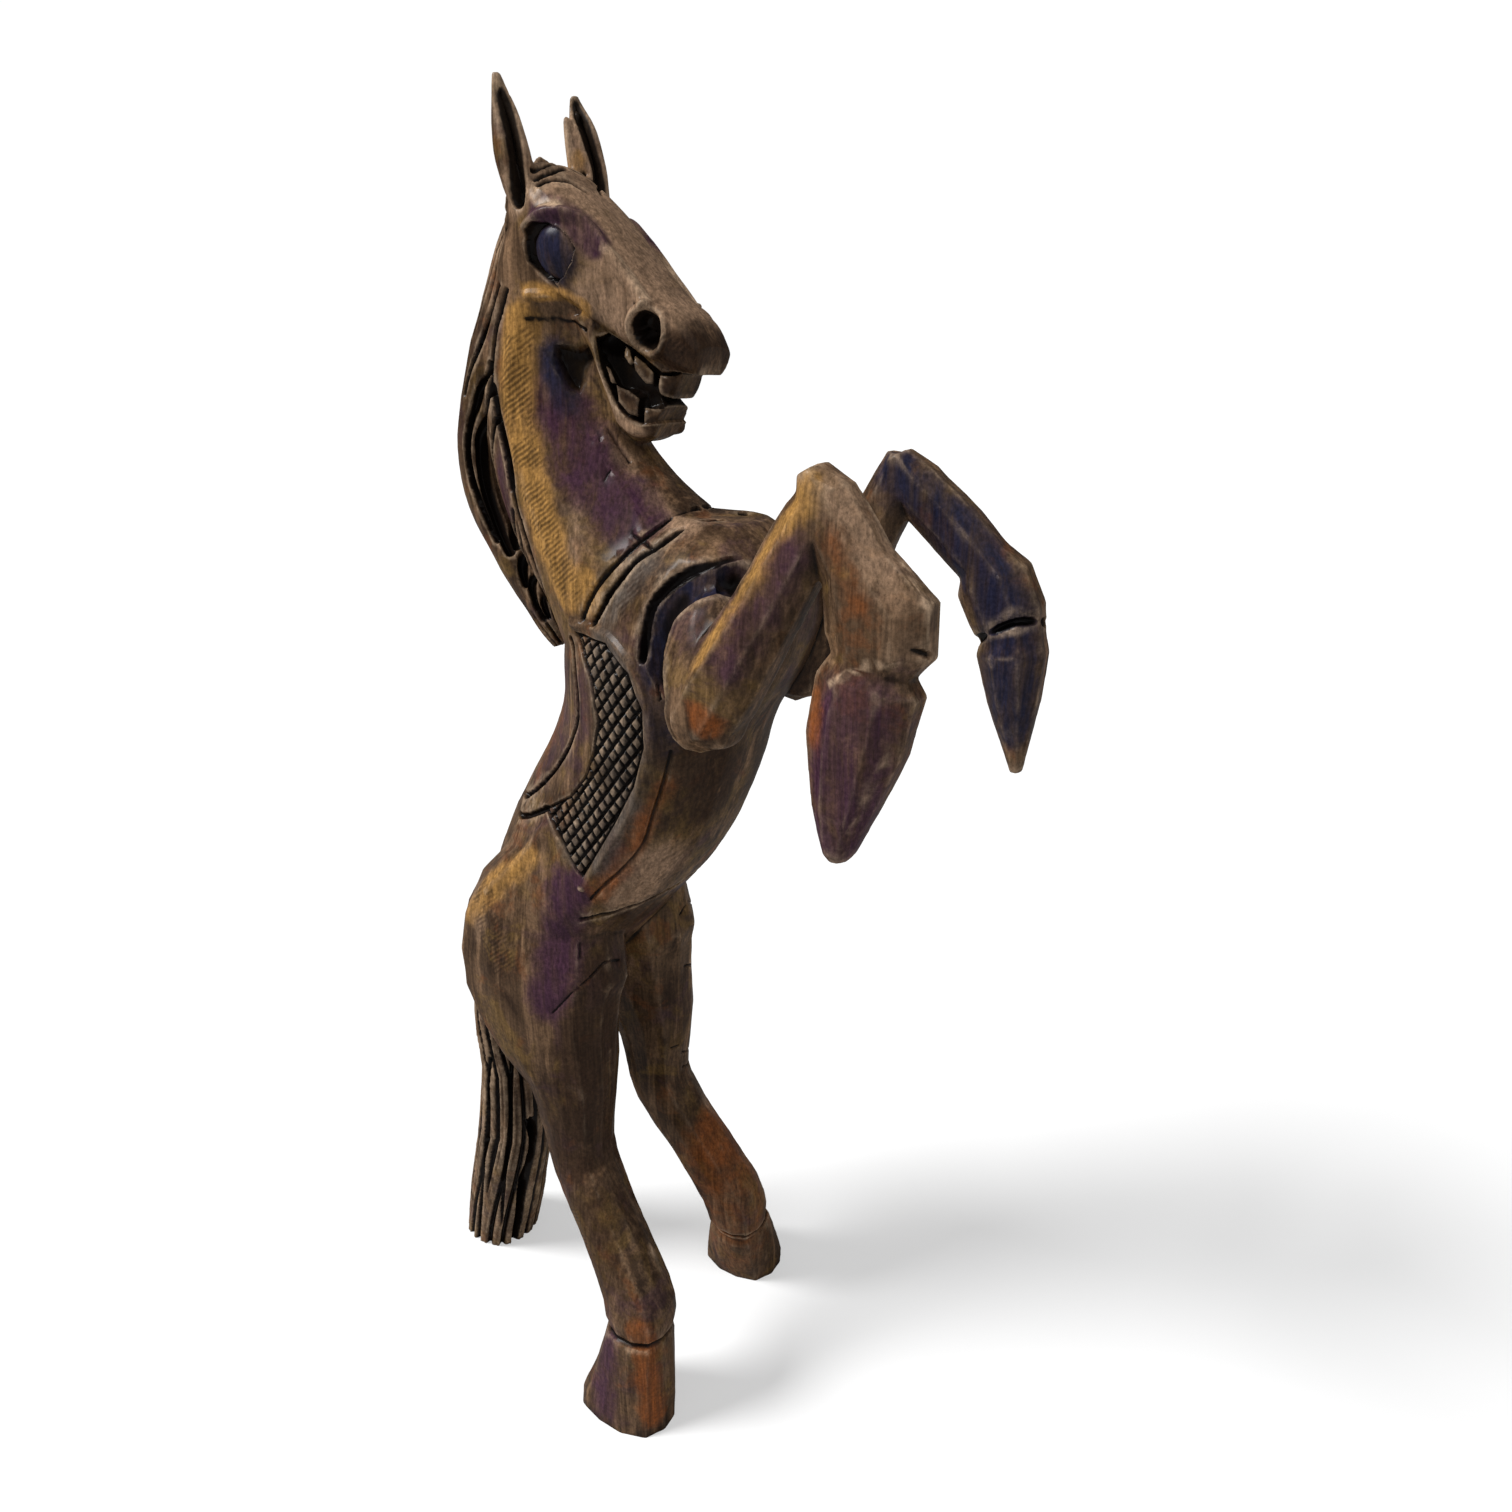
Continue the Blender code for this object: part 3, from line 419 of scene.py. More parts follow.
# Cuts on one side alone, in signed places
SIDE_CUTS = [
    # Hollow of the left ear
    (0.9, 1.5, [(-14.5, 4.9, 168.4), (-13.3, 4.6, 166.6), (-12.2, 4.3, 164.4), (-11.4, 4.3, 162.4),
                (-10.9, 4.4, 160.0)]),
    # Split and folds of the tail on its right side
    (0.9, 2.2, [(-28.6, -1.6, 31.0), (-29.1, -0.7, 25.4), (-31.4, -1.3, 17.9), (-34.4, 0.0, 8.3),
                (-36.8, 0.9, 0.0)]),
    (0.45, 0.9, [(-32.6, -5.0, 42.9), (-34.8, -4.8, 30.8), (-38.4, -3.7, 16.7), (-43.3, -1.6, 0.0)]),
    (0.4, 0.8, [(-29.2, -3.6, 43.3), (-30.1, -4.3, 32.4), (-33.6, -3.5, 18.7), (-38.6, -1.5, 0.0)]),
    # Cracks of the left hind leg
    (0.25, 0.5, [(-8.0, 6.2, 47.2), (-7.0, 6.9, 46.9), (-6.5, 7.8, 46.9)]),
    (0.25, 0.5, [(-6.6, 8.9, 45.0), (-7.1, 11.3, 43.8), (-7.8, 12.5, 43.1)]),
    (0.25, 0.5, [(-6.8, 9.4, 42.0), (-7.4, 11.7, 41.0)]),
    (0.25, 0.5, [(-5.6, 8.7, 60.2), (-5.7, 10.2, 59.6), (-6.2, 11.6, 59.0)]),
    # Notch over the right fore coronet, and the groove of the left one
    (0.4, 0.5, [(36.2, -15.4, 117.6), (36.7, -14.9, 117.4), (37.3, -14.0, 117.0)]),
    (0.6, 0.8, [(33.3, 12.0, 112.4), (33.5, 11.3, 112.8), (36.5, 9.7, 114.7), (38.7, 10.4, 115.5),
                (40.1, 13.9, 114.9)]),
]
# Grooves round the tops of the hind hooves: centre x, y and height, then half width and depth of all
CORONETS = [(0.1, -12.8, 16.6), (-0.5, 14.9, 12.0)]
CORONET_GROOVE = (0.5, 0.45)
HOOF_REACH = 8.0         # a groove runs round all that lies this near its centre
# Ridges left standing, in the same form
RIDGES = [
    (1.4, 0.4, [(-15.1, -5.1, 148.2), (-16.6, -6.5, 141.0), (-17.0, -6.9, 136.8), (-13.9, -7.7, 128.3),
                (-10.1, -8.5, 120.8), (-8.3, -8.6, 115.2)]),
    (0.8, 0.4, [(-7.3, -9.7, 114.0), (-1.0, -11.7, 113.8), (3.6, -13.0, 110.8), (5.4, -13.3, 106.6),
                (5.3, -13.1, 102.0), (3.6, -12.9, 96.7), (0.4, -12.8, 91.0), (-5.2, -13.1, 82.6)]),
    (0.8, 0.3, [(-12.4, -10.3, 91.0), (-9.2, -12.4, 87.5), (-5.6, -13.1, 82.6)]),
    (1.4, 0.5, [(-12.0, -11.5, 88.1), (-16.5, -11.4, 82.9), (-21.5, -12.2, 77.7)]),
    (1.0, 0.8, [(-13.3, -5.9, 155.2), (-11.3, -6.0, 156.3), (-8.8, -5.7, 156.4), (-6.0, -4.8, 155.4),
                (-3.4, -4.6, 152.1), (-1.2, -4.5, 149.7), (0.6, -4.5, 147.4)]),
    (0.9, 0.4, [(-14.1, -5.2, 148.6), (-8.6, -5.1, 148.1), (-6.6, -4.6, 146.5), (-6.4, -4.5, 143.5),
                (-5.4, -4.3, 138.5), (-4.0, -4.1, 135.8), (-1.8, -3.8, 134.6), (0.8, -2.6, 134.4)]),
]

# Saddle panel: the outline of its field in side view, and the two ways its lattice runs
PANEL = [(-7.2, 113.2), (-1.0, 113.0), (3.0, 110.4), (4.7, 106.6), (4.6, 102.0), (2.9, 97.0),
         (-0.3, 91.5), (-5.2, 83.7), (-8.8, 87.9), (-12.2, 90.9), (-7.5, 93.7), (-4.7, 96.9),
         (-3.1, 100.3), (-2.1, 104.1), (-3.4, 108.4)]
LATTICE_WAYS = [(0.82, 0.57), (0.77, -0.64)]
LATTICE_SPACING = 1.35
LATTICE_GROOVE = 0.42    # width of a groove as a share of the spacing
LATTICE_DEPTH = 0.5
LATTICE_TILT = 0.16      # how much deeper each square lies at its far edge
PANEL_WALL = 0.3         # width over which the field sinks in at its outline
PANEL_EDGE = (0.4, 0.6)  # width and depth of the cut round the field

# Open mouth in side view, and the faces of the teeth that stand in it, upper ones first
MOUTH = [(-6.2, 144.4), (-5.0, 144.7), (-3.3, 143.9), (-2.0, 143.1), (-0.5, 142.1), (1.4, 141.0),
         (4.0, 140.6), (8.0, 140.1), (8.0, 135.0), (5.5, 135.4), (2.1, 135.6), (-0.8, 135.3),
         (-2.7, 136.1), (-4.5, 137.6), (-5.7, 140.2), (-6.0, 143.0)]
TEETH_FACES = [
    [(-3.6, 143.8), (-2.6, 143.2), (-1.6, 141.8), (-2.4, 141.3), (-3.3, 142.4)],
    [(-2.3, 143.0), (-0.5, 142.0), (0.7, 141.0), (0.6, 139.3), (-0.6, 139.4), (-1.9, 140.9)],
    [(1.1, 140.9), (4.0, 140.5), (4.1, 137.6), (2.8, 137.4), (1.1, 138.3), (0.9, 139.2)],
    [(4.5, 140.4), (7.8, 140.1), (7.8, 138.0), (6.1, 137.5), (4.6, 137.5)],
    [(-5.5, 141.9), (-4.4, 141.3), (-3.7, 139.5), (-4.7, 139.4)],
    [(-4.1, 139.8), (-2.5, 139.2), (-1.1, 138.2), (-1.2, 136.0), (-2.6, 136.3), (-4.0, 137.6)],
    [(-0.7, 137.6), (1.1, 137.2), (8.2, 137.1), (8.2, 134.8), (0.6, 135.2), (-0.8, 135.2)],
]
MOUTH_DEPTH = 1.9
MOUTH_WALL = 0.25
TOOTH_SINK = 0.4         # the teeth lie this far below the lips
TOOTH_WALL = 0.2
# Painted shade darkens the mouth, its teeth too, from this depth
TOOTH_SHADE = 0.2        # depth in the mouth from which the wood is darkened

# Eye in side view: its socket, and centre x, z and radius of the ball
SOCKET = [(-14.1, 152.0), (-14.1, 153.6), (-13.3, 154.9), (-12.1, 155.6), (-10.2, 155.5), (-8.7, 154.9),
          (-7.6, 153.9), (-7.0, 152.8), (-7.5, 151.5), (-8.9, 150.1), (-10.4, 149.5), (-12.0, 150.1),
          (-13.2, 151.0)]
SOCKET_DEPTH = 0.75
SOCKET_WALL = 0.15
EYE_BALL = (-9.9, 152.6, 2.9)
EYE_BULGE = 1.1
EYE_WALL = 0.05
# Nostril in side view: centre x, z and radius
NOSTRIL = (0.8, 144.8, 2.05)
NOSTRIL_DEPTH = 2.4
NOSTRIL_SLOPE = 6.0               # the full depth is reached a sixth of the radius inside
NOSTRIL_RIM = (0.45, 1.15, 0.25)  # height, then place and half width in radii

# The mane lies behind this line in side view; its grooves in the same form as the cuts
MANE_FIELD = [(-17.1, 150.0), (-18.4, 145.2), (-19.6, 140.0), (-18.2, 133.4), (-16.9, 128.0),
              (-15.4, 122.4), (-13.8, 117.0), (-13.4, 112.0), (-15.0, 104.0), (-30.0, 104.0),
              (-38.0, 130.0), (-30.0, 156.0), (-16.5, 164.0)]
MANE_CUTS = [
    (0.55, 1.1, [(-20.0, -6.0, 141.6), (-20.3, -6.1, 140.8), (-21.9, -5.8, 138.9), (-22.8, -6.1, 136.7),
                 (-23.6, -6.3, 134.5), (-24.0, -6.5, 132.2), (-23.7, -6.5, 129.4), (-23.0, -6.4, 127.2),
                 (-22.0, -6.1, 124.8), (-20.6, -5.9, 122.0)]),
    (0.55, 1.2, [(-19.7, -6.3, 139.8), (-20.8, -6.2, 137.3), (-22.2, -5.8, 134.5), (-22.6, -5.9, 132.8),
                 (-22.5, -6.1, 130.0), (-22.0, -6.3, 127.4), (-21.2, -6.2, 125.0), (-20.2, -6.0, 122.6),
                 (-19.1, -6.0, 120.6)]),
    (0.5, 1.1, [(-19.2, -6.8, 135.6), (-20.2, -6.5, 133.2), (-20.9, -5.9, 130.4), (-20.8, -5.8, 127.8),
                (-20.2, -5.8, 125.4), (-19.4, -5.9, 123.0), (-18.6, -6.0, 121.2)]),
    (0.5, 1.0, [(-16.9, -7.6, 125.6), (-17.4, -7.0, 122.6), (-17.9, -6.2, 120.4), (-17.6, -5.8, 118.4),
                (-17.3, -5.8, 116.8)]),
    (0.5, 1.0, [(-15.8, -8.0, 124.6), (-16.0, -7.6, 122.0), (-16.3, -6.8, 119.4), (-16.6, -5.8, 117.0),
                (-16.2, -5.5, 114.5), (-15.6, -5.2, 112.6)]),
    (0.4, 0.8, [(-15.0, -7.8, 121.0), (-15.2, -7.0, 118.4), (-15.4, -5.8, 115.6), (-14.9, -5.0, 112.9)]),
    (0.4, 0.8, [(-18.5, -5.7, 149.8), (-19.8, -5.6, 147.3), (-20.8, -5.6, 145.2), (-21.9, -5.7, 143.1),
                (-23.2, -5.8, 141.0), (-24.2, -5.8, 138.4)]),
]
MANE_WALL = 0.4
MANE_BACK = (5.4, 1.2)   # the even strands end this far from the middle, and fade over this width
# Even strands: half width and half depth of the hank, grooves round it, their depth and their sway
MANE_STRANDS = (6.0, 4.0, 17, 0.75, 1.8)
TAIL_STRANDS = (5.0, 5.0, 17, 0.75, 2.2)
STRAND_LAND = 0.1        # part of each wave that lies above the groove's edge
STRAND_SHARPNESS = 1.3
HAIR_SHARE = 0.12        # depth of the fine hairs as a share of the groove's
TAIL_TOP = (62.0, 5.0)   # height where the tail's grooves start, and how far down they deepen
TAIL_FRONT = -27.0       # the tail's grooves are cut only behind this

# Knife facets left all over the wood: size and depth in shares
FACETS = [(4.6, 0.17), (1.9, 0.08)]
NOISE_CELLS = 32
GRAIN_STRETCH = 1.8      # facets are this much longer along the upright grain

# How the carving is cut
LINE_STEPS = 3           # places made from each stop of a line
FINE_ACROSS = 0.3        # share of a fine line's distance from the surface that counts
# Painted shade darkens the jaw recess by this share of its depth
RECESS_SHADE = 0.2       # share of the jaw recess that is darkened as a cut
NORMAL_PASSES = 12       # averages over neighbours that smooth the way the wood is cut
HOLLOW_PASSES = 14       # averages over neighbours that give a vertex's wider surroundings
FULL_HOLLOW = 0.002      # metres below the wider surroundings that count as 1

# Faces are split once more where the finest carving goes: low and high corner in shares
FINE_FIELDS = [
    ((-16.0, -20.0, 132.0), (9.0, 20.0, 158.5)),
    ((-13.5, -20.0, 82.5), (6.5, 20.0, 114.5)),
    ((-26.0, -20.0, 111.0), (-15.0, 20.0, 146.0)),
]

# Stains, with some strokes of painted light and shade among them, in shares: radius, strength and stops
# of a stroke, mirrored unless the side is named
STAINS_AND_PAINTED_LIGHT = {
    "gold": [
        (3.0, 1.0, "both", [(-15.0, -6.0, 146.0), (-15.8, -6.6, 139.0), (-14.6, -7.2, 132.6),
                            (-11.0, -8.9, 124.1), (-7.4, -9.7, 117.4)]),
        (1.3, 1.0, "both", [(-14.0, -5.2, 149.0), (-10.0, -5.1, 148.4), (-7.0, -4.8, 147.0)]),
        (2.8, 0.7, "both", [(-14.5, -12.0, 84.0), (-19.3, -12.4, 79.8), (-24.7, -12.1, 73.9)]),
        (2.0, 0.8, "both", [(-5.0, -9.8, 119.5), (-4.0, -9.8, 116.5)]),
        (1.6, 0.9, "both", [(25.5, -15.2, 131.5), (20.0, -15.6, 122.0), (14.5, -16.4, 113.5)]),
        (1.8, 0.7, "left", [(-13.8, 3.8, 162.5), (-13.2, 3.6, 159.5)]),
    ],
    "umber": [
        (7.0, 1.0, "right", [(-5.0, -9.0, 68.0), (-7.0, -10.5, 58.0), (-8.5, -10.5, 46.0)]),
        (8.0, 1.0, "right", [(-18.0, -8.0, 62.0), (-13.0, -9.0, 50.0), (-11.0, -9.5, 40.0)]),
        (8.0, 0.8, "left", [(-16.0, 8.0, 64.0), (-12.0, 9.0, 50.0)]),
        (6.0, 1.0, "both", [(-30.0, -7.0, 63.0), (-25.0, -9.0, 55.0)]),
        (6.0, 0.8, "both", [(-7.0, -11.0, 34.0), (-3.5, -12.0, 24.0)]),
        (7.0, 1.0, "both", [(9.0, -7.0, 102.0), (8.0, -6.0, 95.0)]),
        (6.0, 1.0, "both", [(14.0, -5.0, 116.0), (11.0, -6.0, 104.0)]),
        (5.0, 0.9, "both", [(-1.0, -9.0, 79.0), (-3.0, -5.0, 76.0)]),
        (5.0, 0.7, "both", [(-22.0, -4.0, 125.0), (-24.0, -5.0, 140.0)]),
        (5.0, 0.9, "both", [(-30.0, -3.0, 52.0), (-31.0, -2.0, 34.0)]),
        (2.4, 0.9, "both", [(2.0, -3.8, 135.0), (-2.0, -4.2, 135.4)]),
        # Painted shade: these two strokes darken the underside of the muzzle and the teeth
        (3.0, 1.0, "both", [(3.6, -4.0, 142.8), (8.0, -2.0, 143.6), (8.0, 0.0, 143.0)]),
        (3.2, 1.0, "both", [(-2.0, -4.2, 140.0), (3.0, -3.8, 138.5), (7.5, -2.5, 139.0)]),
    ],
    "tan": [
        (6.0, 1.0, "both", [(-12.0, -2.0, 160.0), (-6.0, -3.0, 156.0), (0.0, -3.0, 150.5),
                            (2.0, -3.0, 148.5)]),
        (3.4, 0.9, "both", [(-6.0, -5.6, 149.0), (-1.6, -5.0, 145.6)]),
        (2.6, 0.9, "both", [(-14.6, -4.6, 167.0), (-14.6, -4.8, 158.0)]),
        (1.2, 0.9, "both", [(-5.6, -4.6, 141.0), (-4.0, -4.2, 136.0), (-1.0, -3.8, 134.4)]),
        (4.2, 0.9, "right", [(27.5, -13.0, 130.0), (32.5, -13.0, 123.0), (34.5, -13.0, 118.0)]),
        (5.5, 0.9, "both", [(3.0, -9.0, 86.0), (0.0, -10.0, 81.5)]),
        (2.6, 0.7, "both", [(-8.0, -6.6, 126.0), (-7.0, -8.4, 120.0)]),
        # Painted light on the front of the neck under the chin
        (2.6, 0.8, "both", [(-3.0, -4.5, 132.5), (1.5, -5.2, 128.0), (6.5, -5.5, 125.0)]),
        (3.0, 0.7, "both", [(-22.0, -12.4, 72.0), (-24.0, -12.0, 76.0)]),
        (2.4, 0.7, "left", [(-5.0, 12.0, 60.0), (-5.0, 12.0, 46.0), (-4.0, 13.0, 34.0)]),
    ],
    "ash": [
        (5.0, 1.0, "both", [(-1.0, -12.0, 111.0), (1.5, -12.6, 104.0), (0.0, -12.6, 96.0),
                            (-5.0, -12.4, 88.0)]),
        (3.0, 0.8, "both", [(3.0, -9.0, 122.4), (-1.0, -11.0, 116.6)]),
    ],
    "violet": [
        (5.2, 0.9, "both", [(-10.0, -5.6, 136.0), (-6.8, -5.6, 130.6), (-1.0, -6.1, 125.6)]),
        (2.4, 1.0, "both", [(-11.3, -6.0, 156.6), (-8.0, -5.6, 156.2), (-5.2, -5.0, 153.6)]),
        (4.4, 0.9, "both", [(-7.4, -13.1, 82.0), (-9.0, -13.6, 74.0), (-11.0, -14.6, 66.0)]),
        (3.4, 0.55, "both", [(24.0, -16.4, 125.0), (18.4, -17.3, 114.9)]),
        (6.0, 1.0, "both", [(31.0, -16.8, 111.0), (30.0, -16.4, 99.0)]),
        (3.0, 0.6, "both", [(-5.0, -10.6, 108.0), (-5.5, -11.0, 102.0)]),
        (4.4, 0.6, "both", [(-12.6, -8.0, 110.0), (-12.0, -9.0, 102.0), (-16.0, -8.0, 93.0)]),
        (3.6, 0.8, "right", [(-3.0, -17.4, 16.0), (-4.0, -17.8, 2.0)]),
        (2.4, 0.7, "both", [(-18.4, -6.6, 131.0), (-18.0, -7.0, 126.0)]),
    ],
    "rust": [
        (2.2, 1.0, "both", [(15.2, -17.7, 108.6), (16.2, -17.7, 107.6)]),
        (2.0, 0.5, "both", [(27.8, -15.8, 127.0), (31.0, -15.8, 121.0)]),
        (2.2, 0.7, "both", [(26.6, -16.0, 112.0), (26.6, -16.0, 108.0)]),
        (2.8, 0.7, "both", [(6.5, -12.6, 97.0), (2.0, -12.8, 88.0), (-3.0, -13.0, 82.0)]),
        (3.0, 0.4, "both", [(-12.6, -7.0, 112.0), (-13.0, -7.0, 102.0), (-17.0, -7.0, 93.0)]),
        (6.0, 0.8, "left", [(-4.0, 11.0, 30.0), (-0.5, 14.0, 16.0), (-1.5, 18.0, 3.0)]),
        (2.6, 0.9, "right", [(2.4, -16.0, 19.4), (3.6, -16.2, 13.0), (3.8, -15.3, 3.0)]),
    ],
    "slate": [
        (3.2, 1.0, "both", [(15.5, -8.6, 121.4), (9.8, -11.2, 119.8), (7.0, -12.4, 116.6),
                            (6.6, -13.0, 111.0)]),
        # Painted shade in the hollow behind the jaw
        (3.0, 0.8, "both", [(-12.0, -5.2, 143.0), (-10.0, -5.6, 138.0)]),
        (3.6, 1.2, "both", [(-10.5, -6.4, 152.6), (-9.8, -6.4, 151.6)]),
        # Painted shade on the far, left foreleg
        (5.4, 1.0, "left", [(24.0, 8.0, 131.0), (36.1, 9.0, 117.7), (38.0, 10.0, 104.0)]),
        (3.2, 0.6, "both", [(6.6, -13.4, 110.0), (7.6, -12.6, 103.0)]),
    ],
    "bare": [
        # Partly pale scuffs, partly a painted highlight along the edge of the nose
        (0.9, 0.9, "both", [(-4.0, -4.6, 152.6), (-2.7, -4.3, 151.5), (-1.0, -4.3, 149.7),
                            (0.8, -4.4, 147.6)]),
        # Painted highlight on the knob of the brow below the ear
        (1.0, 0.8, "both", [(-12.5, -5.6, 158.5), (-11.3, -5.8, 157.3), (-9.4, -5.6, 156.9)]),
        (0.8, 0.45, "right", [(34.8, -15.4, 108.4), (32.9, -16.0, 104.0), (31.1, -16.0, 99.3)]),
        (0.6, 0.7, "both", [(28.5, -16.3, 113.6), (31.8, -16.2, 115.7), (35.2, -15.6, 116.3)]),
        (0.6, 0.8, "right", [(30.0, -12.2, 129.6), (33.4, -12.6, 125.1), (37.2, -14.3, 121.3)]),
        (0.6, 0.5, "right", [(0.3, -10.1, 27.9), (3.1, -11.1, 23.1)]),
        (0.6, 0.3, "right", [(-4.8, -6.0, 69.1), (-5.4, -7.3, 62.1), (-5.8, -8.8, 55.2),
                             (-6.0, -10.1, 49.6)]),
        (0.8, 0.6, "both", [(-15.0, -3.4, 166.0), (-13.6, -3.6, 160.0)]),
    ],
}
# Where the tool left fine parallel marks, in the same form
COMBED = [
    (2.4, 1.0, "both", [(-15.4, -6.2, 144.0), (-15.8, -6.8, 139.0), (-14.6, -7.4, 132.6),
                        (-11.0, -9.0, 124.1), (-7.4, -9.9, 118.0)]),
    (4.0, 0.8, "both", [(-22.0, -12.0, 76.0), (-18.0, -13.5, 70.0)]),
    (2.6, 0.8, "both", [(4.0, -10.4, 120.6), (2.0, -10.8, 117.0)]),
    (2.0, 0.8, "both", [(0.0, -4.6, 144.0), (4.5, -4.4, 142.6)]),
    (2.0, 0.9, "right", [(-10.0, -12.6, 33.0), (-6.0, -14.0, 22.0)]),
    (3.4, 0.7, "both", [(3.0, -9.0, 82.5), (7.0, -8.0, 88.0)]),
]


def forms():
    """Every form as (rings, points in a ring)."""
    for rows, square, taper, count in MIDDLE_FORMS:
        yield slices(rows, square, taper), count
    for rows, side, square, steps, count in LIMBS:
        placed = [(x, y * side, z, wide, deep) for x, y, z, wide, deep in rows]
        yield limb(placed, square, steps), count


def rough_block():
    """All forms as overlapping closed bodies in one mesh object."""
    bm = bmesh.new()
    for rings, count in forms():
        loft(bm, rings, count)
    bmesh.ops.recalc_face_normals(bm, faces=bm.faces)
    mesh = bpy.data.meshes.new("carved_horse")
    bm.to_mesh(mesh)
    bm.free()
    horse = bpy.data.objects.new("carved_horse", mesh)
    bpy.context.scene.collection.objects.link(horse)
    return horse


def apply_modifiers(horse):
    """Makes the result of the horse's modifiers its mesh."""
    depsgraph = bpy.context.evaluated_depsgraph_get()
    mesh = bpy.data.meshes.new_from_object(horse.evaluated_get(depsgraph))
    horse.modifiers.clear()
    horse.data = mesh


def unite(horse):
    """One closed skin round all the forms, its ridges softened."""
    remesh = horse.modifiers.new("union", "REMESH")
    remesh.mode = "VOXEL"
    remesh.voxel_size = VOXEL
    soften = horse.modifiers.new("soften", "SMOOTH")
    soften.factor = SOFTEN_FACTOR
    soften.iterations = SOFTEN_STEPS
    apply_modifiers(horse)


def places(mesh):
    """The places of all vertices, in metres."""
    points = np.zeros(len(mesh.vertices) * 3)
    mesh.vertices.foreach_get("co", points)
    return points.reshape(-1, 3)


def link_pairs(mesh):
    """The two vertices of every edge."""
    pairs = np.zeros(len(mesh.edges) * 2, dtype=np.int32)
    mesh.edges.foreach_get("vertices", pairs)
    return pairs.reshape(-1, 2)


def refine(horse):
    """Splits the skin's faces once more where the finest carving goes."""
    points = places(horse.data) / SHARE
    fine = np.zeros(len(points), dtype=bool)
    for low, high in FINE_FIELDS:
        fine |= np.all((points > low) & (points < high), axis=1)
    pairs = link_pairs(horse.data)
    chosen = np.flatnonzero(fine[pairs[:, 0]] & fine[pairs[:, 1]])
    bm = bmesh.new()
    bm.from_mesh(horse.data)
    bm.edges.ensure_lookup_table()
    bmesh.ops.subdivide_edges(bm, edges=[bm.edges[i] for i in chosen], cuts=1, use_grid_fill=True)
    bm.to_mesh(horse.data)
    bm.free()


# Carving

def follow(points, stops):
    """Offset of every point from a line of stops, and how far along it the nearest place is, 0 to 1."""
    nearest = np.full(len(points), np.inf)
    offset = np.zeros_like(points)
    share = np.zeros(len(points))
    for i in range(len(stops) - 1):
        span = stops[i + 1] - stops[i]
        t = np.clip((points - stops[i]) @ span / (span @ span), 0.0, 1.0)
        away = points - stops[i] - t[:, None] * span
        gap = np.linalg.norm(away, axis=1)
        closer = gap < nearest
        nearest[closer] = gap[closer]
        offset[closer] = away[closer]
        share[closer] = (i + t[closer]) / (len(stops) - 1)
    return offset, share


def gouge(points, half_width, line, across=1.0):
    """1 on a smooth line through its stops, falling to 0 at the half width, like a gouge cut.

    Across is the share of the sideways distance that counts, so that below 1 a line may lie a
    little above or below the surface.
    """
    points = points * (1.0, across, 1.0)
    stops = np.array(smooth_rows(line, LINE_STEPS)) * (1.0, across, 1.0)
    near = np.all((points > stops.min(0) - half_width) & (points < stops.max(0) + half_width), axis=1)
    cut = np.zeros(len(points))
    gap = np.linalg.norm(follow(points[near], stops)[0], axis=1)
    cut[near] = np.clip(1.0 - (gap / half_width) ** 2, 0.0, 1.0)
    return cut


def inside(points, outline):
    """True where the side view of a point lies inside a closed outline of (x, z)."""
    x = points[:, 0]
    z = points[:, 2]
    odd = np.zeros(len(points), dtype=bool)
    for (x0, z0), (x1, z1) in zip(outline, outline[1:] + outline[:1]):
        crosses = (z0 > z) != (z1 > z)
        rise = (z1 - z0) or 1.0
        odd ^= crosses & (x < x0 + (z - z0) * (x1 - x0) / rise)
    return odd


def well(points, outline, wall):
    """0 outside a side view outline, rising to 1 at the wall's width inside it."""
    deep = np.zeros(len(points))
    within = inside(points, outline)
    flat = points[within] * (1, 0, 1)
    stops = np.array([(x, 0, z) for x, z in outline + outline[:1]])
    deep[within] = np.clip(np.linalg.norm(follow(flat, stops)[0], axis=1) / wall, 0.0, 1.0)
    return deep


def ring_share(points, centre_x, centre_z, radius):
    """Side view distance from a centre as a share of the radius."""
    return np.hypot(points[:, 0] - centre_x, points[:, 2] - centre_z) / radius


def lattice(points):
    """Two families of straight grooves over the saddle panel, each square tilted a little."""
    cut = np.zeros(len(points))
    tilt = np.zeros(len(points))
    for way_x, way_z in LATTICE_WAYS:
        place = (points[:, 0] * way_x + points[:, 2] * way_z) / LATTICE_SPACING
        from_line = np.abs(place - np.round(place)) / (LATTICE_GROOVE / 2)
        cut = np.maximum(cut, np.clip(1.0 - from_line ** 2, 0.0, 1.0))
        tilt += (place - np.floor(place)) * LATTICE_TILT
    field = well(points, PANEL, PANEL_WALL)
    edge_width, edge_depth = PANEL_EDGE
    edge = 1.0 - np.clip(np.abs(well(points, PANEL, edge_width) * 2 - 1), 0.0, 1.0)
    return np.maximum((LATTICE_DEPTH * cut + tilt) * field, edge_depth * edge)


def strands(points, middle, wide, deep, count, depth, sway):
    """Wavy grooves running down a hank of hair, spread evenly round its middle line.

    Finer hairs lie between them, three to a groove.
    """
    offset, share = follow(points, middle)
    angle = np.arctan2(offset[:, 1] / wide, np.hypot(offset[:, 0], offset[:, 2])
                       * np.sign(offset[:, 0]) / deep)
    turn = count * angle + sway * np.sin(3.0 * math.pi * share)
    wave = np.clip((np.cos(turn) - STRAND_LAND) / (1.0 - STRAND_LAND), 0.0, 1.0)
    hair = HAIR_SHARE * np.clip(np.cos(3.0 * turn + 2.0 * np.sin(9.0 * share)), 0.0, 1.0)
    return depth * (wave ** STRAND_SHARPNESS + hair)


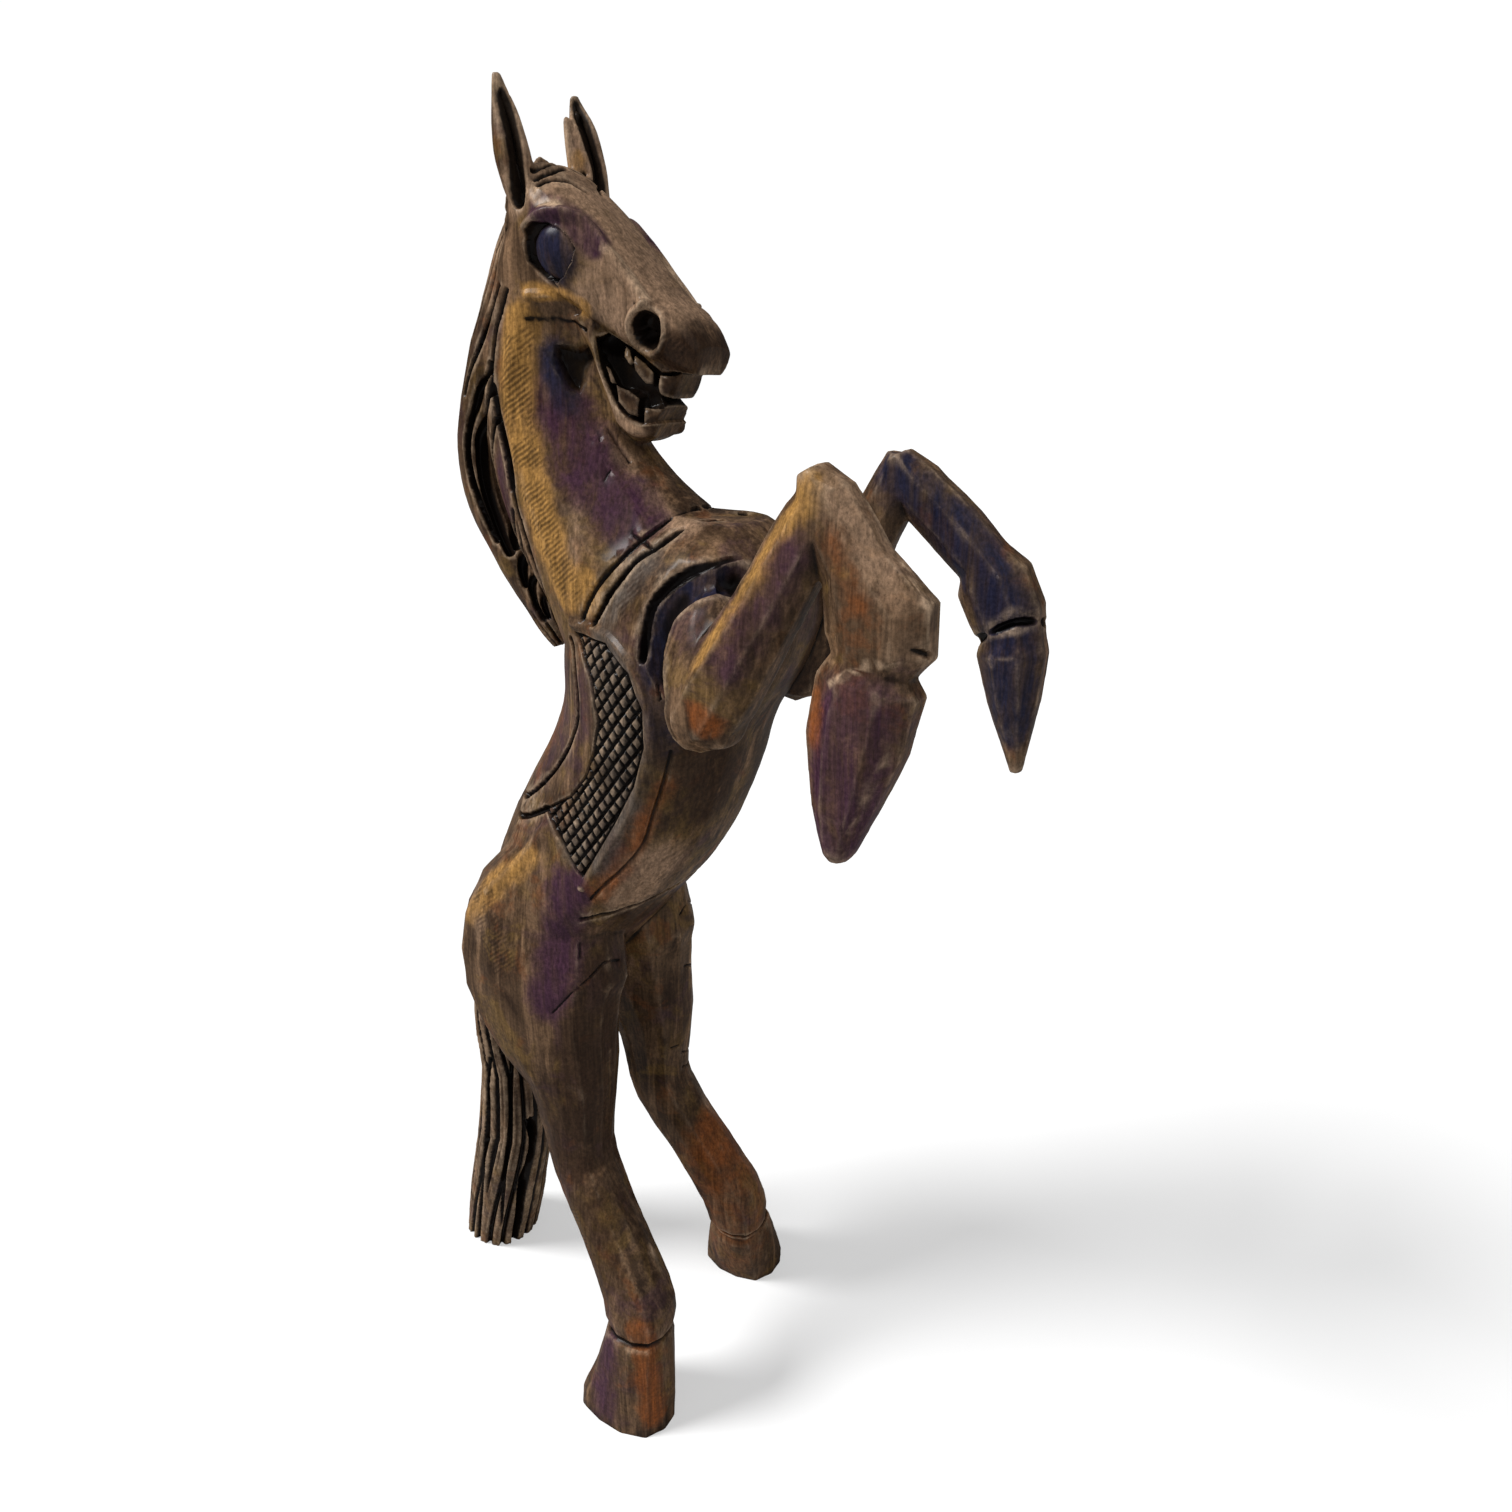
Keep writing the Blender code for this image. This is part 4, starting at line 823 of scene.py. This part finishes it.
def mane_relief(points, right):
    """Strands: those at the sides follow their own lines, those at the back wave evenly."""
    rows = np.array(MANE)
    middle = np.stack([(rows[:, 0] + rows[:, 2]) / 2, 0 * rows[:, 0], (rows[:, 1] + rows[:, 3]) / 2], 1)
    reach, fade = MANE_BACK
    back = np.clip((reach + right[:, 1]) / fade, 0.0, 1.0)
    cut = back * strands(points, middle, *MANE_STRANDS)
    for half_width, depth, line in MANE_CUTS:
        cut = np.maximum(cut, depth * gouge(right, half_width, line, FINE_ACROSS))
    return well(points, MANE_FIELD, MANE_WALL) * cut


def tail_relief(points):
    """Strands all round the tail, from a little below its root to the floor."""
    middle = np.array(TAIL)[:, :3]
    top, fade = TAIL_TOP
    start = np.clip((top - points[:, 2]) / fade, 0.0, 1.0)
    return strands(points, middle, *TAIL_STRANDS) * start * (points[:, 0] < TAIL_FRONT)


def face_relief(points):
    """Depth of the eye, nostril and mouth, negative where they stand out, and how much painted shade they
    get.
    """
    ball = ring_share(points, *EYE_BALL)
    eye = SOCKET_DEPTH * well(points, SOCKET, SOCKET_WALL)
    eye -= EYE_BULGE * np.sqrt(np.clip(1.0 - ball ** 2, 0.0, 1.0)) * well(points, SOCKET, EYE_WALL)
    bore = ring_share(points, *NOSTRIL)
    rim_height, rim_place, rim_width = NOSTRIL_RIM
    nostril = NOSTRIL_DEPTH * np.clip(NOSTRIL_SLOPE * (1.0 - bore), 0.0, 1.0)
    nostril -= rim_height * np.clip(1.0 - (np.abs(bore - rim_place) / rim_width) ** 2, 0.0, 1.0)
    mouth = MOUTH_DEPTH * well(points, MOUTH, MOUTH_WALL)
    for tooth in TEETH_FACES:
        raised = (MOUTH_DEPTH - TOOTH_SINK) * well(points, tooth, TOOTH_WALL)
        mouth = np.minimum(mouth, MOUTH_DEPTH - raised)
    return eye + nostril + mouth, eye + nostril + np.clip(mouth - TOOTH_SHADE, 0.0, None)


def coronets(points):
    """Level grooves round the tops of the hind hooves."""
    half_width, depth = CORONET_GROOVE
    cut = np.zeros(len(points))
    for x, y, z in CORONETS:
        near = np.hypot(points[:, 0] - x, points[:, 1] - y) < HOOF_REACH
        cut += depth * near * np.clip(1.0 - ((points[:, 2] - z) / half_width) ** 2, 0.0, 1.0)
    return cut


def lumps(points, size):
    """Smooth noise from -1 to 1 with lumps of the given size, longer along the upright grain."""
    table = rng.uniform(-1.0, 1.0, (NOISE_CELLS,) * 3)
    cell = points / (size, size, size * GRAIN_STRETCH)
    low = np.floor(cell).astype(int)
    t = cell - low
    t = t * t * (3.0 - 2.0 * t)
    total = np.zeros(len(points))
    for corner in np.ndindex(2, 2, 2):
        weight = np.prod(np.abs(1 - np.array(corner) - t), axis=1)
        x, y, z = ((low + corner) % NOISE_CELLS).T
        total += weight * table[x, y, z]
    return total


def relief(points):
    """How deep the sharp cuts go at every point, which sets the painted shade there, and how deep all the
    carving goes, in shares.
    """
    right = points.copy()
    right[:, 1] = -np.abs(right[:, 1])
    cut = np.maximum(lattice(right), coronets(points))
    for half_width, depth, line in CUTS:
        cut = np.maximum(cut, depth * gouge(right, half_width, line))
    for half_width, depth, line in CRACKS:
        cut = np.maximum(cut, depth * gouge(right, half_width, line, FINE_ACROSS))
    for half_width, depth, line in SIDE_CUTS:
        cut = np.maximum(cut, depth * gouge(points, half_width, line))
    outline, wall, depth = JAW_RECESS
    recess = depth * well(right, outline, wall)
    broad = np.maximum(cut, recess)
    cut = np.maximum(cut, RECESS_SHADE * recess)
    for half_width, depth, line in HOLLOWS:
        broad = np.maximum(broad, depth * gouge(right, half_width, line))
    for half_width, height, line in RIDGES:
        broad = broad - height * gouge(right, half_width, line) ** 2
    face, face_shade = face_relief(right)
    hair = mane_relief(points, right) + tail_relief(points)
    return cut + face_shade + hair, broad + face + hair


def knife_facets(points):
    """Shallow unevenness left by the knife, in shares."""
    total = np.zeros(len(points))
    for size, depth in FACETS:
        total += depth * np.abs(lumps(points, size))
    return total


def keep(mesh, name, values):
    """Stores one number per vertex for the finish."""
    mesh.attributes.new(name, "FLOAT", "POINT").data.foreach_set("value", values.astype(np.float32))


def neighbour_mean(values, pairs, count):
    """Every vertex's value as the mean of its neighbours' values."""
    a, b = pairs[:, 0], pairs[:, 1]
    total = np.bincount(a, values[b], len(count)) + np.bincount(b, values[a], len(count))
    return total / count


def averaged(mesh, rows, passes):
    """Rows of three numbers per vertex, averaged with their neighbours' so many times."""
    pairs = link_pairs(mesh)
    count = np.maximum(np.bincount(pairs.ravel(), minlength=len(rows)), 1)
    mean = rows.copy()
    for _ in range(passes):
        for axis in range(3):
            mean[:, axis] = neighbour_mean(mean[:, axis], pairs, count)
    return mean


def vertex_normals(mesh):
    normals = np.zeros(len(mesh.vertices) * 3)
    mesh.vertices.foreach_get("normal", normals)
    return normals.reshape(-1, 3)


def hollowness(mesh, passes):
    """How far each vertex lies below its wider surroundings, in metres; ridges are negative."""
    points = places(mesh)
    return np.sum((averaged(mesh, points, passes) - points) * vertex_normals(mesh), axis=1)


def carve(horse):
    """Moves every point of the skin in or out by the relief, along the smoothed normal there."""
    mesh = horse.data
    points = places(mesh)
    normals = averaged(mesh, vertex_normals(mesh), NORMAL_PASSES)
    normals /= np.linalg.norm(normals, axis=1)[:, None]
    cut, whole = relief(points / SHARE)
    deep = (whole + knife_facets(points / SHARE)) * SHARE
    mesh.vertices.foreach_set("co", (points - normals * deep[:, None]).ravel())
    mesh.update()
    # Cut depth, which the finish turns into painted shade
    keep(mesh, "cut", np.clip(cut, 0.0, 2.0))
    # How hollow each place is: the finish turns this into painted shade in the hollows, and into pale
    # wear with painted highlight on the ridges
    keep(mesh, "hollow", np.clip(hollowness(mesh, HOLLOW_PASSES) / FULL_HOLLOW, -1.0, 1.0))


def simplify(horse):
    """Fewer faces where the carving is plain, down to the number aimed at."""
    decimate = horse.modifiers.new("facets", "DECIMATE")
    decimate.ratio = TRIANGLES / sum(len(p.vertices) - 2 for p in horse.data.polygons)
    apply_modifiers(horse)


def cut_soles(horse):
    """Flat soles: everything below the floor is cut off and closed."""
    bm = bmesh.new()
    bm.from_mesh(horse.data)
    geom = list(bm.verts) + list(bm.edges) + list(bm.faces)
    cut = bmesh.ops.bisect_plane(bm, geom=geom, plane_co=(0, 0, 0), plane_no=(0, 0, 1),
                                 clear_inner=True)
    rim = [e for e in cut["geom_cut"] if isinstance(e, bmesh.types.BMEdge)]
    bmesh.ops.edgeloop_fill(bm, edges=rim)
    bmesh.ops.triangulate(bm, faces=bm.faces)
    bmesh.ops.recalc_face_normals(bm, faces=bm.faces)
    bm.to_mesh(horse.data)
    bm.free()


def brush(points, strokes):
    """Soft strokes on the surface: 1 in the middle of a stroke, 0 outside it."""
    mirrored = points.copy()
    mirrored[:, 1] = -np.abs(mirrored[:, 1])
    total = np.zeros(len(points))
    for radius, strength, side, line in strokes:
        place = mirrored if side == "both" else points
        total = np.maximum(total, strength * gouge(place, radius, line))
    return total


def paint(horse):
    """Stores where each stain, each stroke of painted light or shade, and the fine tool marks lie."""
    points = places(horse.data) / SHARE
    for name, strokes in STAINS_AND_PAINTED_LIGHT.items():
        keep(horse.data, name, brush(points, strokes))
    keep(horse.data, "combed", brush(points, COMBED))


def fit_to_frame(horse):
    """Puts the carving exactly into the box that the plain solid fills."""
    points = places(horse.data)
    low, high = points.min(0), points.max(0)
    cad_low, cad_high = (np.array(c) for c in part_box("horse"))
    fitted = cad_low + (points - low) / (high - low) * (cad_high - cad_low)
    horse.data.vertices.foreach_set("co", fitted.ravel())
    horse.data.update()


# Finish

def feed(tree, sockets, values):
    """Gives every socket its value, or a link where the value is itself a socket."""
    for socket, value in zip(sockets, values):
        if isinstance(value, bpy.types.NodeSocket):
            tree.links.new(value, socket)
        else:
            socket.default_value = value


def node(tree, kind, **inputs):
    """A new node with the inputs named."""
    made = tree.nodes.new(kind)
    feed(tree, [made.inputs[name] for name in inputs], inputs.values())
    return made


def math_node(tree, operation, a, b=0.0, c=0.0):
    made = tree.nodes.new("ShaderNodeMath")
    made.operation = operation
    feed(tree, made.inputs, (a, b, c))
    return made.outputs[0]


def mix_colour(tree, factor, a, b, blend="MIX"):
    made = tree.nodes.new("ShaderNodeMix")
    made.data_type = "RGBA"
    made.blend_type = blend
    made.clamp_factor = True
    feed(tree, (made.inputs[0], made.inputs[6], made.inputs[7]), (factor, a, b))
    return made.outputs[2]


def rescale(tree, value, low, high, to_low=0.0, to_high=1.0):
    """Maps low..high to to_low..to_high, held at the ends."""
    made = tree.nodes.new("ShaderNodeMapRange")
    made.interpolation_type = "SMOOTHSTEP"
    feed(tree, made.inputs, (value, low, high, to_low, to_high))
    return made.outputs[0]


def noise(tree, vector, scale, detail=4.0, roughness=0.55, distortion=0.0):
    made = node(tree, "ShaderNodeTexNoise", Vector=vector, Scale=scale, Detail=detail,
                Roughness=roughness, Distortion=distortion)
    return made.outputs[0]


def stretched(tree, vector, scale, turn=(0.0, 0.0, 0.0)):
    made = node(tree, "ShaderNodeMapping", Vector=vector, Scale=scale, Rotation=turn)
    return made.outputs[0]


def attribute(tree, name):
    made = tree.nodes.new("ShaderNodeAttribute")
    made.attribute_type = "GEOMETRY"
    made.attribute_name = name
    return made.outputs["Fac"]


def new_group(name, inputs, outputs):
    """A shader node group that takes a vector and the named numbers, and gives named numbers."""
    group = bpy.data.node_groups.new(name, "ShaderNodeTree")
    group.interface.new_socket(name="Vector", in_out="INPUT", socket_type="NodeSocketVector")
    for label in inputs:
        group.interface.new_socket(name=label, in_out="INPUT", socket_type="NodeSocketFloat")
    for label in outputs:
        group.interface.new_socket(name=label, in_out="OUTPUT", socket_type="NodeSocketFloat")
    return group, group.nodes.new("NodeGroupInput"), group.nodes.new("NodeGroupOutput")


def use_group(tree, group, **inputs):
    """The outputs of a group run on the inputs named."""
    made = tree.nodes.new("ShaderNodeGroup")
    made.node_tree = group
    feed(tree, [made.inputs[name] for name in inputs], inputs.values())
    return made.outputs


def grain_group():
    """Upright wood grain: broad streaks, fine fibres and dark pores."""
    group, given, out = new_group("upright grain", [], ["Streaks", "Fibres", "Pores"])
    place = given.outputs["Vector"]
    streaks = noise(group, stretched(group, place, (52.0, 52.0, 3.6)), 1.0, 5.0, 0.6, 0.6)
    fibres = noise(group, stretched(group, place, (260.0, 260.0, 14.0)), 1.0, 3.0, 0.6)
    dots = noise(group, stretched(group, place, (420.0, 420.0, 60.0)), 1.0, 2.0, 0.5)
    group.links.new(streaks, out.inputs["Streaks"])
    group.links.new(fibres, out.inputs["Fibres"])
    group.links.new(rescale(group, dots, 0.60, 0.72), out.inputs["Pores"])
    return group


def stroke_group():
    """A brushed stroke, for the stains and for the painted light and shade: its mask broken up at the
    edge and thinned by the grain.
    """
    group, given, out = new_group("brushed stain", ["Mask", "Grain"], ["Amount"])
    blot = noise(group, given.outputs["Vector"], 28.0, 6.0, 0.62, 0.4)
    ragged = math_node(group, "MULTIPLY_ADD", blot, 1.1, -0.55)
    spread = math_node(group, "ADD", given.outputs["Mask"], ragged)
    soft = rescale(group, spread, 0.12, 0.85)
    taken = rescale(group, given.outputs["Grain"], 0.3, 0.6, 0.45, 1.0)
    thin = math_node(group, "MULTIPLY", soft, taken)
    group.links.new(thin, out.inputs["Amount"])
    return group


def comb_group():
    """Fine parallel tool marks, 5 to 6 millimetres apart and slanting."""
    group, given, out = new_group("comb marks", ["Mask"], ["Marks"])
    turned = stretched(group, given.outputs["Vector"], (1.0, 1.0, 1.0), COMB_TURN)
    wave = node(group, "ShaderNodeTexWave", Vector=turned, **COMB_WAVE)
    wave.wave_type = "BANDS"
    wave.bands_direction = "Z"
    blot = rescale(group, noise(group, given.outputs["Vector"], 45.0, 3.0), 0.38, 0.55)
    patchy = math_node(group, "MULTIPLY", wave.outputs["Fac"], blot)
    marks = math_node(group, "MULTIPLY", patchy, rescale(group, given.outputs["Mask"], 0.1, 0.7))
    group.links.new(marks, out.inputs["Marks"])
    return group


# Colours of the finish
BROWN_DARK = (0.025, 0.0135, 0.0082, 1.0)
BROWN = (0.072, 0.042, 0.0235, 1.0)
BROWN_LIGHT = (0.17, 0.100, 0.056, 1.0)
STAIN_AND_LIGHT_COLOURS = {
    "umber": (0.031, 0.0162, 0.0092, 1.0),
    "tan": (0.25, 0.157, 0.098, 1.0),
    "ash": (0.088, 0.070, 0.057, 1.0),
    "gold": (0.32, 0.168, 0.048, 1.0),
    "violet": (0.046, 0.019, 0.033, 1.0),
    "rust": (0.20, 0.060, 0.015, 1.0),
    "slate": (0.014, 0.014, 0.030, 1.0),
    "bare": (0.42, 0.29, 0.19, 1.0),
}
# Pale worn wood on the ridges, which also serves as painted highlight on the edges
WORN_AND_HIGHLIT = (0.48, 0.345, 0.232, 1.0)
# Painted shade: near black laid into the cuts, the mouth, the nostrils and the hollows
PAINTED_SHADE = (0.0025, 0.0018, 0.0018, 1.0)
# Loose patches of colour all over: shift, size, where the noise starts and ends, amount, colour
MOTTLES = [
    (1.3, 13.0, 0.50, 0.64, 0.50, (0.150, 0.088, 0.026, 1.0)),
    (4.1, 10.0, 0.53, 0.66, 0.45, (0.046, 0.021, 0.034, 1.0)),
    (7.7, 17.0, 0.55, 0.67, 0.45, (0.130, 0.044, 0.014, 1.0)),
]
STAIN_SHIFT = 0.7        # a stain's ragged edge is moved by this for each letter of its name
# How strongly each layer of the finish covers the one below
WEAR_AND_HIGHLIGHT_AMOUNT = 0.45
PORE_AMOUNT = 0.4
COMB_AMOUNT = 0.58
PAINTED_SHADE_AMOUNT = 0.95
# Tool marks: slant, and how the wave that draws them runs
COMB_TURN = (0.0, math.radians(38.0), 0.3)
COMB_WAVE = {"Scale": 58.0, "Distortion": 2.2, "Detail": 2.0, "Detail Scale": 1.4}
# Varnish: roughness from the smoothest to the roughest wood, what the cuts and hollows with painted shade
# add, and the coat
ROUGHNESS = (0.40, 0.56)
CUT_ROUGHNESS = 0.4
COAT_WEIGHT = 0.14
COAT_ROUGHNESS = 0.28
# Bump: share of fibres and of pores, strength, and height in metres
FIBRE_BUMP = 0.6
PORE_BUMP = 0.15
BUMP_STRENGTH = 0.6
BUMP_HEIGHT = 0.0010


def stained_wood():
    """Dark brown stained wood with brushed patches, worn edges that also carry painted highlights,
    painted shade in the cuts and hollows, and satin varnish.
    """
    wood = bpy.data.materials.new("stained wood")
    wood.use_nodes = True
    tree = wood.node_tree
    shader = tree.nodes["Principled BSDF"]
    place = tree.nodes.new("ShaderNodeTexCoord").outputs["Object"]

    streaks, fibres, pores = use_group(tree, grain_group(), Vector=place)
    clouds = noise(tree, place, 9.0, 6.0, 0.6, 0.5)
    colour = mix_colour(tree, rescale(tree, clouds, 0.32, 0.62), BROWN_DARK, BROWN)
    colour = mix_colour(tree, rescale(tree, streaks, 0.42, 0.72), colour, BROWN_LIGHT)
    for shift, size, low, high, amount, tint in MOTTLES:
        moved = node(tree, "ShaderNodeMapping", Vector=place, Location=(shift, shift, 0.0)).outputs[0]
        patch = rescale(tree, noise(tree, moved, size, 5.0, 0.65, 0.6), low, high, 0.0, amount)
        colour = mix_colour(tree, patch, colour, tint)

    brushed = stroke_group()
    for name, tint in STAIN_AND_LIGHT_COLOURS.items():
        shift = (len(name) * STAIN_SHIFT, 0.0, 0.0)
        moved = node(tree, "ShaderNodeMapping", Vector=place, Location=shift).outputs[0]
        stain = use_group(tree, brushed, Vector=moved, Mask=attribute(tree, name), Grain=streaks)
        colour = mix_colour(tree, stain["Amount"], colour, tint)

    hollow = attribute(tree, "hollow")
    cut = attribute(tree, "cut")
    combs = use_group(tree, comb_group(), Vector=place, Mask=attribute(tree, "combed"))
    marks = combs["Marks"]
    # Pale wear on the ridges, which also serves as painted highlight on the edges
    wear_and_highlight = math_node(tree, "MULTIPLY", rescale(tree, hollow, -0.2, -0.9),
                     rescale(tree, noise(tree, place, 30.0, 6.0, 0.7), 0.30, 0.66))
    colour = mix_colour(tree, math_node(tree, "MULTIPLY", wear_and_highlight, WEAR_AND_HIGHLIGHT_AMOUNT), colour, WORN_AND_HIGHLIT)
    colour = mix_colour(tree, math_node(tree, "MULTIPLY", pores, PORE_AMOUNT), colour, BROWN_DARK)
    colour = mix_colour(tree, math_node(tree, "MULTIPLY", marks, COMB_AMOUNT), colour, BROWN_DARK)
    speckle = noise(tree, place, 210.0, 6.0, 0.7)
    uneven = math_node(tree, "MULTIPLY", rescale(tree, speckle, 0.28, 0.72, 0.68, 1.28),
                       rescale(tree, fibres, 0.3, 0.7, 0.72, 1.22))
    colour = mix_colour(tree, 1.0, colour, uneven, "MULTIPLY")
    # Painted shade: darker towards near black in the cuts, the mouth, the nostrils and the hollows
    dark = math_node(tree, "MAXIMUM", rescale(tree, cut, 0.06, 0.42), rescale(tree, hollow, 0.1, 0.85))
    colour = mix_colour(tree, math_node(tree, "MULTIPLY", dark, PAINTED_SHADE_AMOUNT), colour, PAINTED_SHADE)
    tree.links.new(colour, shader.inputs["Base Color"])

    rough = math_node(tree, "ADD", rescale(tree, clouds, 0.3, 0.7, *ROUGHNESS),
                      math_node(tree, "MULTIPLY", dark, CUT_ROUGHNESS))
    tree.links.new(rough, shader.inputs["Roughness"])
    shader.inputs["Coat Weight"].default_value = COAT_WEIGHT
    shader.inputs["Coat Roughness"].default_value = COAT_ROUGHNESS
    shader.inputs["Specular IOR Level"].default_value = 0.0

    height = math_node(tree, "ADD", math_node(tree, "MULTIPLY", fibres, FIBRE_BUMP),
                       noise(tree, place, 120.0, 5.0, 0.65))
    height = math_node(tree, "SUBTRACT", height, marks)
    height = math_node(tree, "SUBTRACT", height, math_node(tree, "MULTIPLY", pores, PORE_BUMP))
    bump = node(tree, "ShaderNodeBump", Strength=BUMP_STRENGTH, Distance=BUMP_HEIGHT, Height=height)
    tree.links.new(bump.outputs[0], shader.inputs["Normal"])
    return wood


# Stage: the floor is as pale as the surroundings seen behind it
FLOOR_HALF = 30.0
FLOOR_GREY = 0.5
FLOOR_GLOW = 0.44        # light the floor gives off where the camera sees it
SKY_LIGHT = 0.25         # strength of the white surroundings as a light
SKY_SEEN = 0.77          # added where the camera sees them
# Lights: strength, spread in degrees and direction
KEY = (4.2, 20.0, (1.35, 1.25, -1.9))
FILL = (0.65, 60.0, (-0.85, 0.25, -0.7))
# Camera: place in metres, turn in degrees, lens and sensor in millimetres
CAMERA_PLACE = (0.7327, -1.0386, 1.406)
CAMERA_TURN = (70.0, 0.0, 30.056)
LENS = 25.0
SENSOR = 36.0


def pale_floor():
    """Wide plain floor."""
    bm = bmesh.new()
    bmesh.ops.create_grid(bm, x_segments=1, y_segments=1, size=FLOOR_HALF)
    mesh = bpy.data.meshes.new("floor")
    bm.to_mesh(mesh)
    bm.free()
    floor = bpy.data.objects.new("floor", mesh)
    bpy.context.scene.collection.objects.link(floor)
    paper = bpy.data.materials.new("pale floor")
    paper.use_nodes = True
    tree = paper.node_tree
    shader = tree.nodes["Principled BSDF"]
    shader.inputs["Base Color"].default_value = (FLOOR_GREY, FLOOR_GREY, FLOOR_GREY, 1.0)
    shader.inputs["Roughness"].default_value = 1.0
    shader.inputs["Specular IOR Level"].default_value = 0.0
    shader.inputs["Emission Strength"].default_value = FLOOR_GLOW
    path = tree.nodes.new("ShaderNodeLightPath")
    tree.links.new(path.outputs["Is Camera Ray"], shader.inputs["Emission Color"])
    mesh.materials.append(paper)


def sun(name, strength, spread, direction):
    """A soft distant light, spread in degrees, that shines in the given direction."""
    light = bpy.data.lights.new(name, "SUN")
    light.energy = strength
    light.angle = math.radians(spread)
    lamp = bpy.data.objects.new(name, light)
    lamp.rotation_euler = Vector(direction).to_track_quat("-Z", "Y").to_euler()
    bpy.context.scene.collection.objects.link(lamp)


def studio():
    """White surroundings, a broad light from the upper left and a weak one from the front right."""
    world = bpy.data.worlds.new("studio")
    bpy.context.scene.world = world
    world.use_nodes = True
    sky = world.node_tree
    back = sky.nodes["Background"]
    back.inputs["Color"].default_value = (1.0, 1.0, 1.0, 1.0)
    path = sky.nodes.new("ShaderNodeLightPath")
    strength = math_node(sky, "MULTIPLY_ADD", path.outputs["Is Camera Ray"], SKY_SEEN, SKY_LIGHT)
    sky.links.new(strength, back.inputs["Strength"])
    sun("key", *KEY)
    sun("fill", *FILL)


def camera():
    """The photograph's view: 20 degrees down, from the horse's right front side."""
    lens = bpy.data.cameras.new("camera")
    lens.lens = LENS
    lens.sensor_width = SENSOR
    eye = bpy.data.objects.new("camera", lens)
    eye.location = CAMERA_PLACE
    eye.rotation_euler = [math.radians(angle) for angle in CAMERA_TURN]
    bpy.context.scene.collection.objects.link(eye)
    bpy.context.scene.camera = eye


def main():
    horse = rough_block()
    unite(horse)
    refine(horse)
    carve(horse)
    simplify(horse)
    cut_soles(horse)
    paint(horse)
    fit_to_frame(horse)
    horse.data.shade_smooth()
    horse.data.materials.clear()
    horse.data.materials.append(stained_wood())
    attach(horse, "root")
    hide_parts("horse")
    pale_floor()
    studio()
    camera()
    bpy.context.scene.view_settings.view_transform = "Standard"


main()
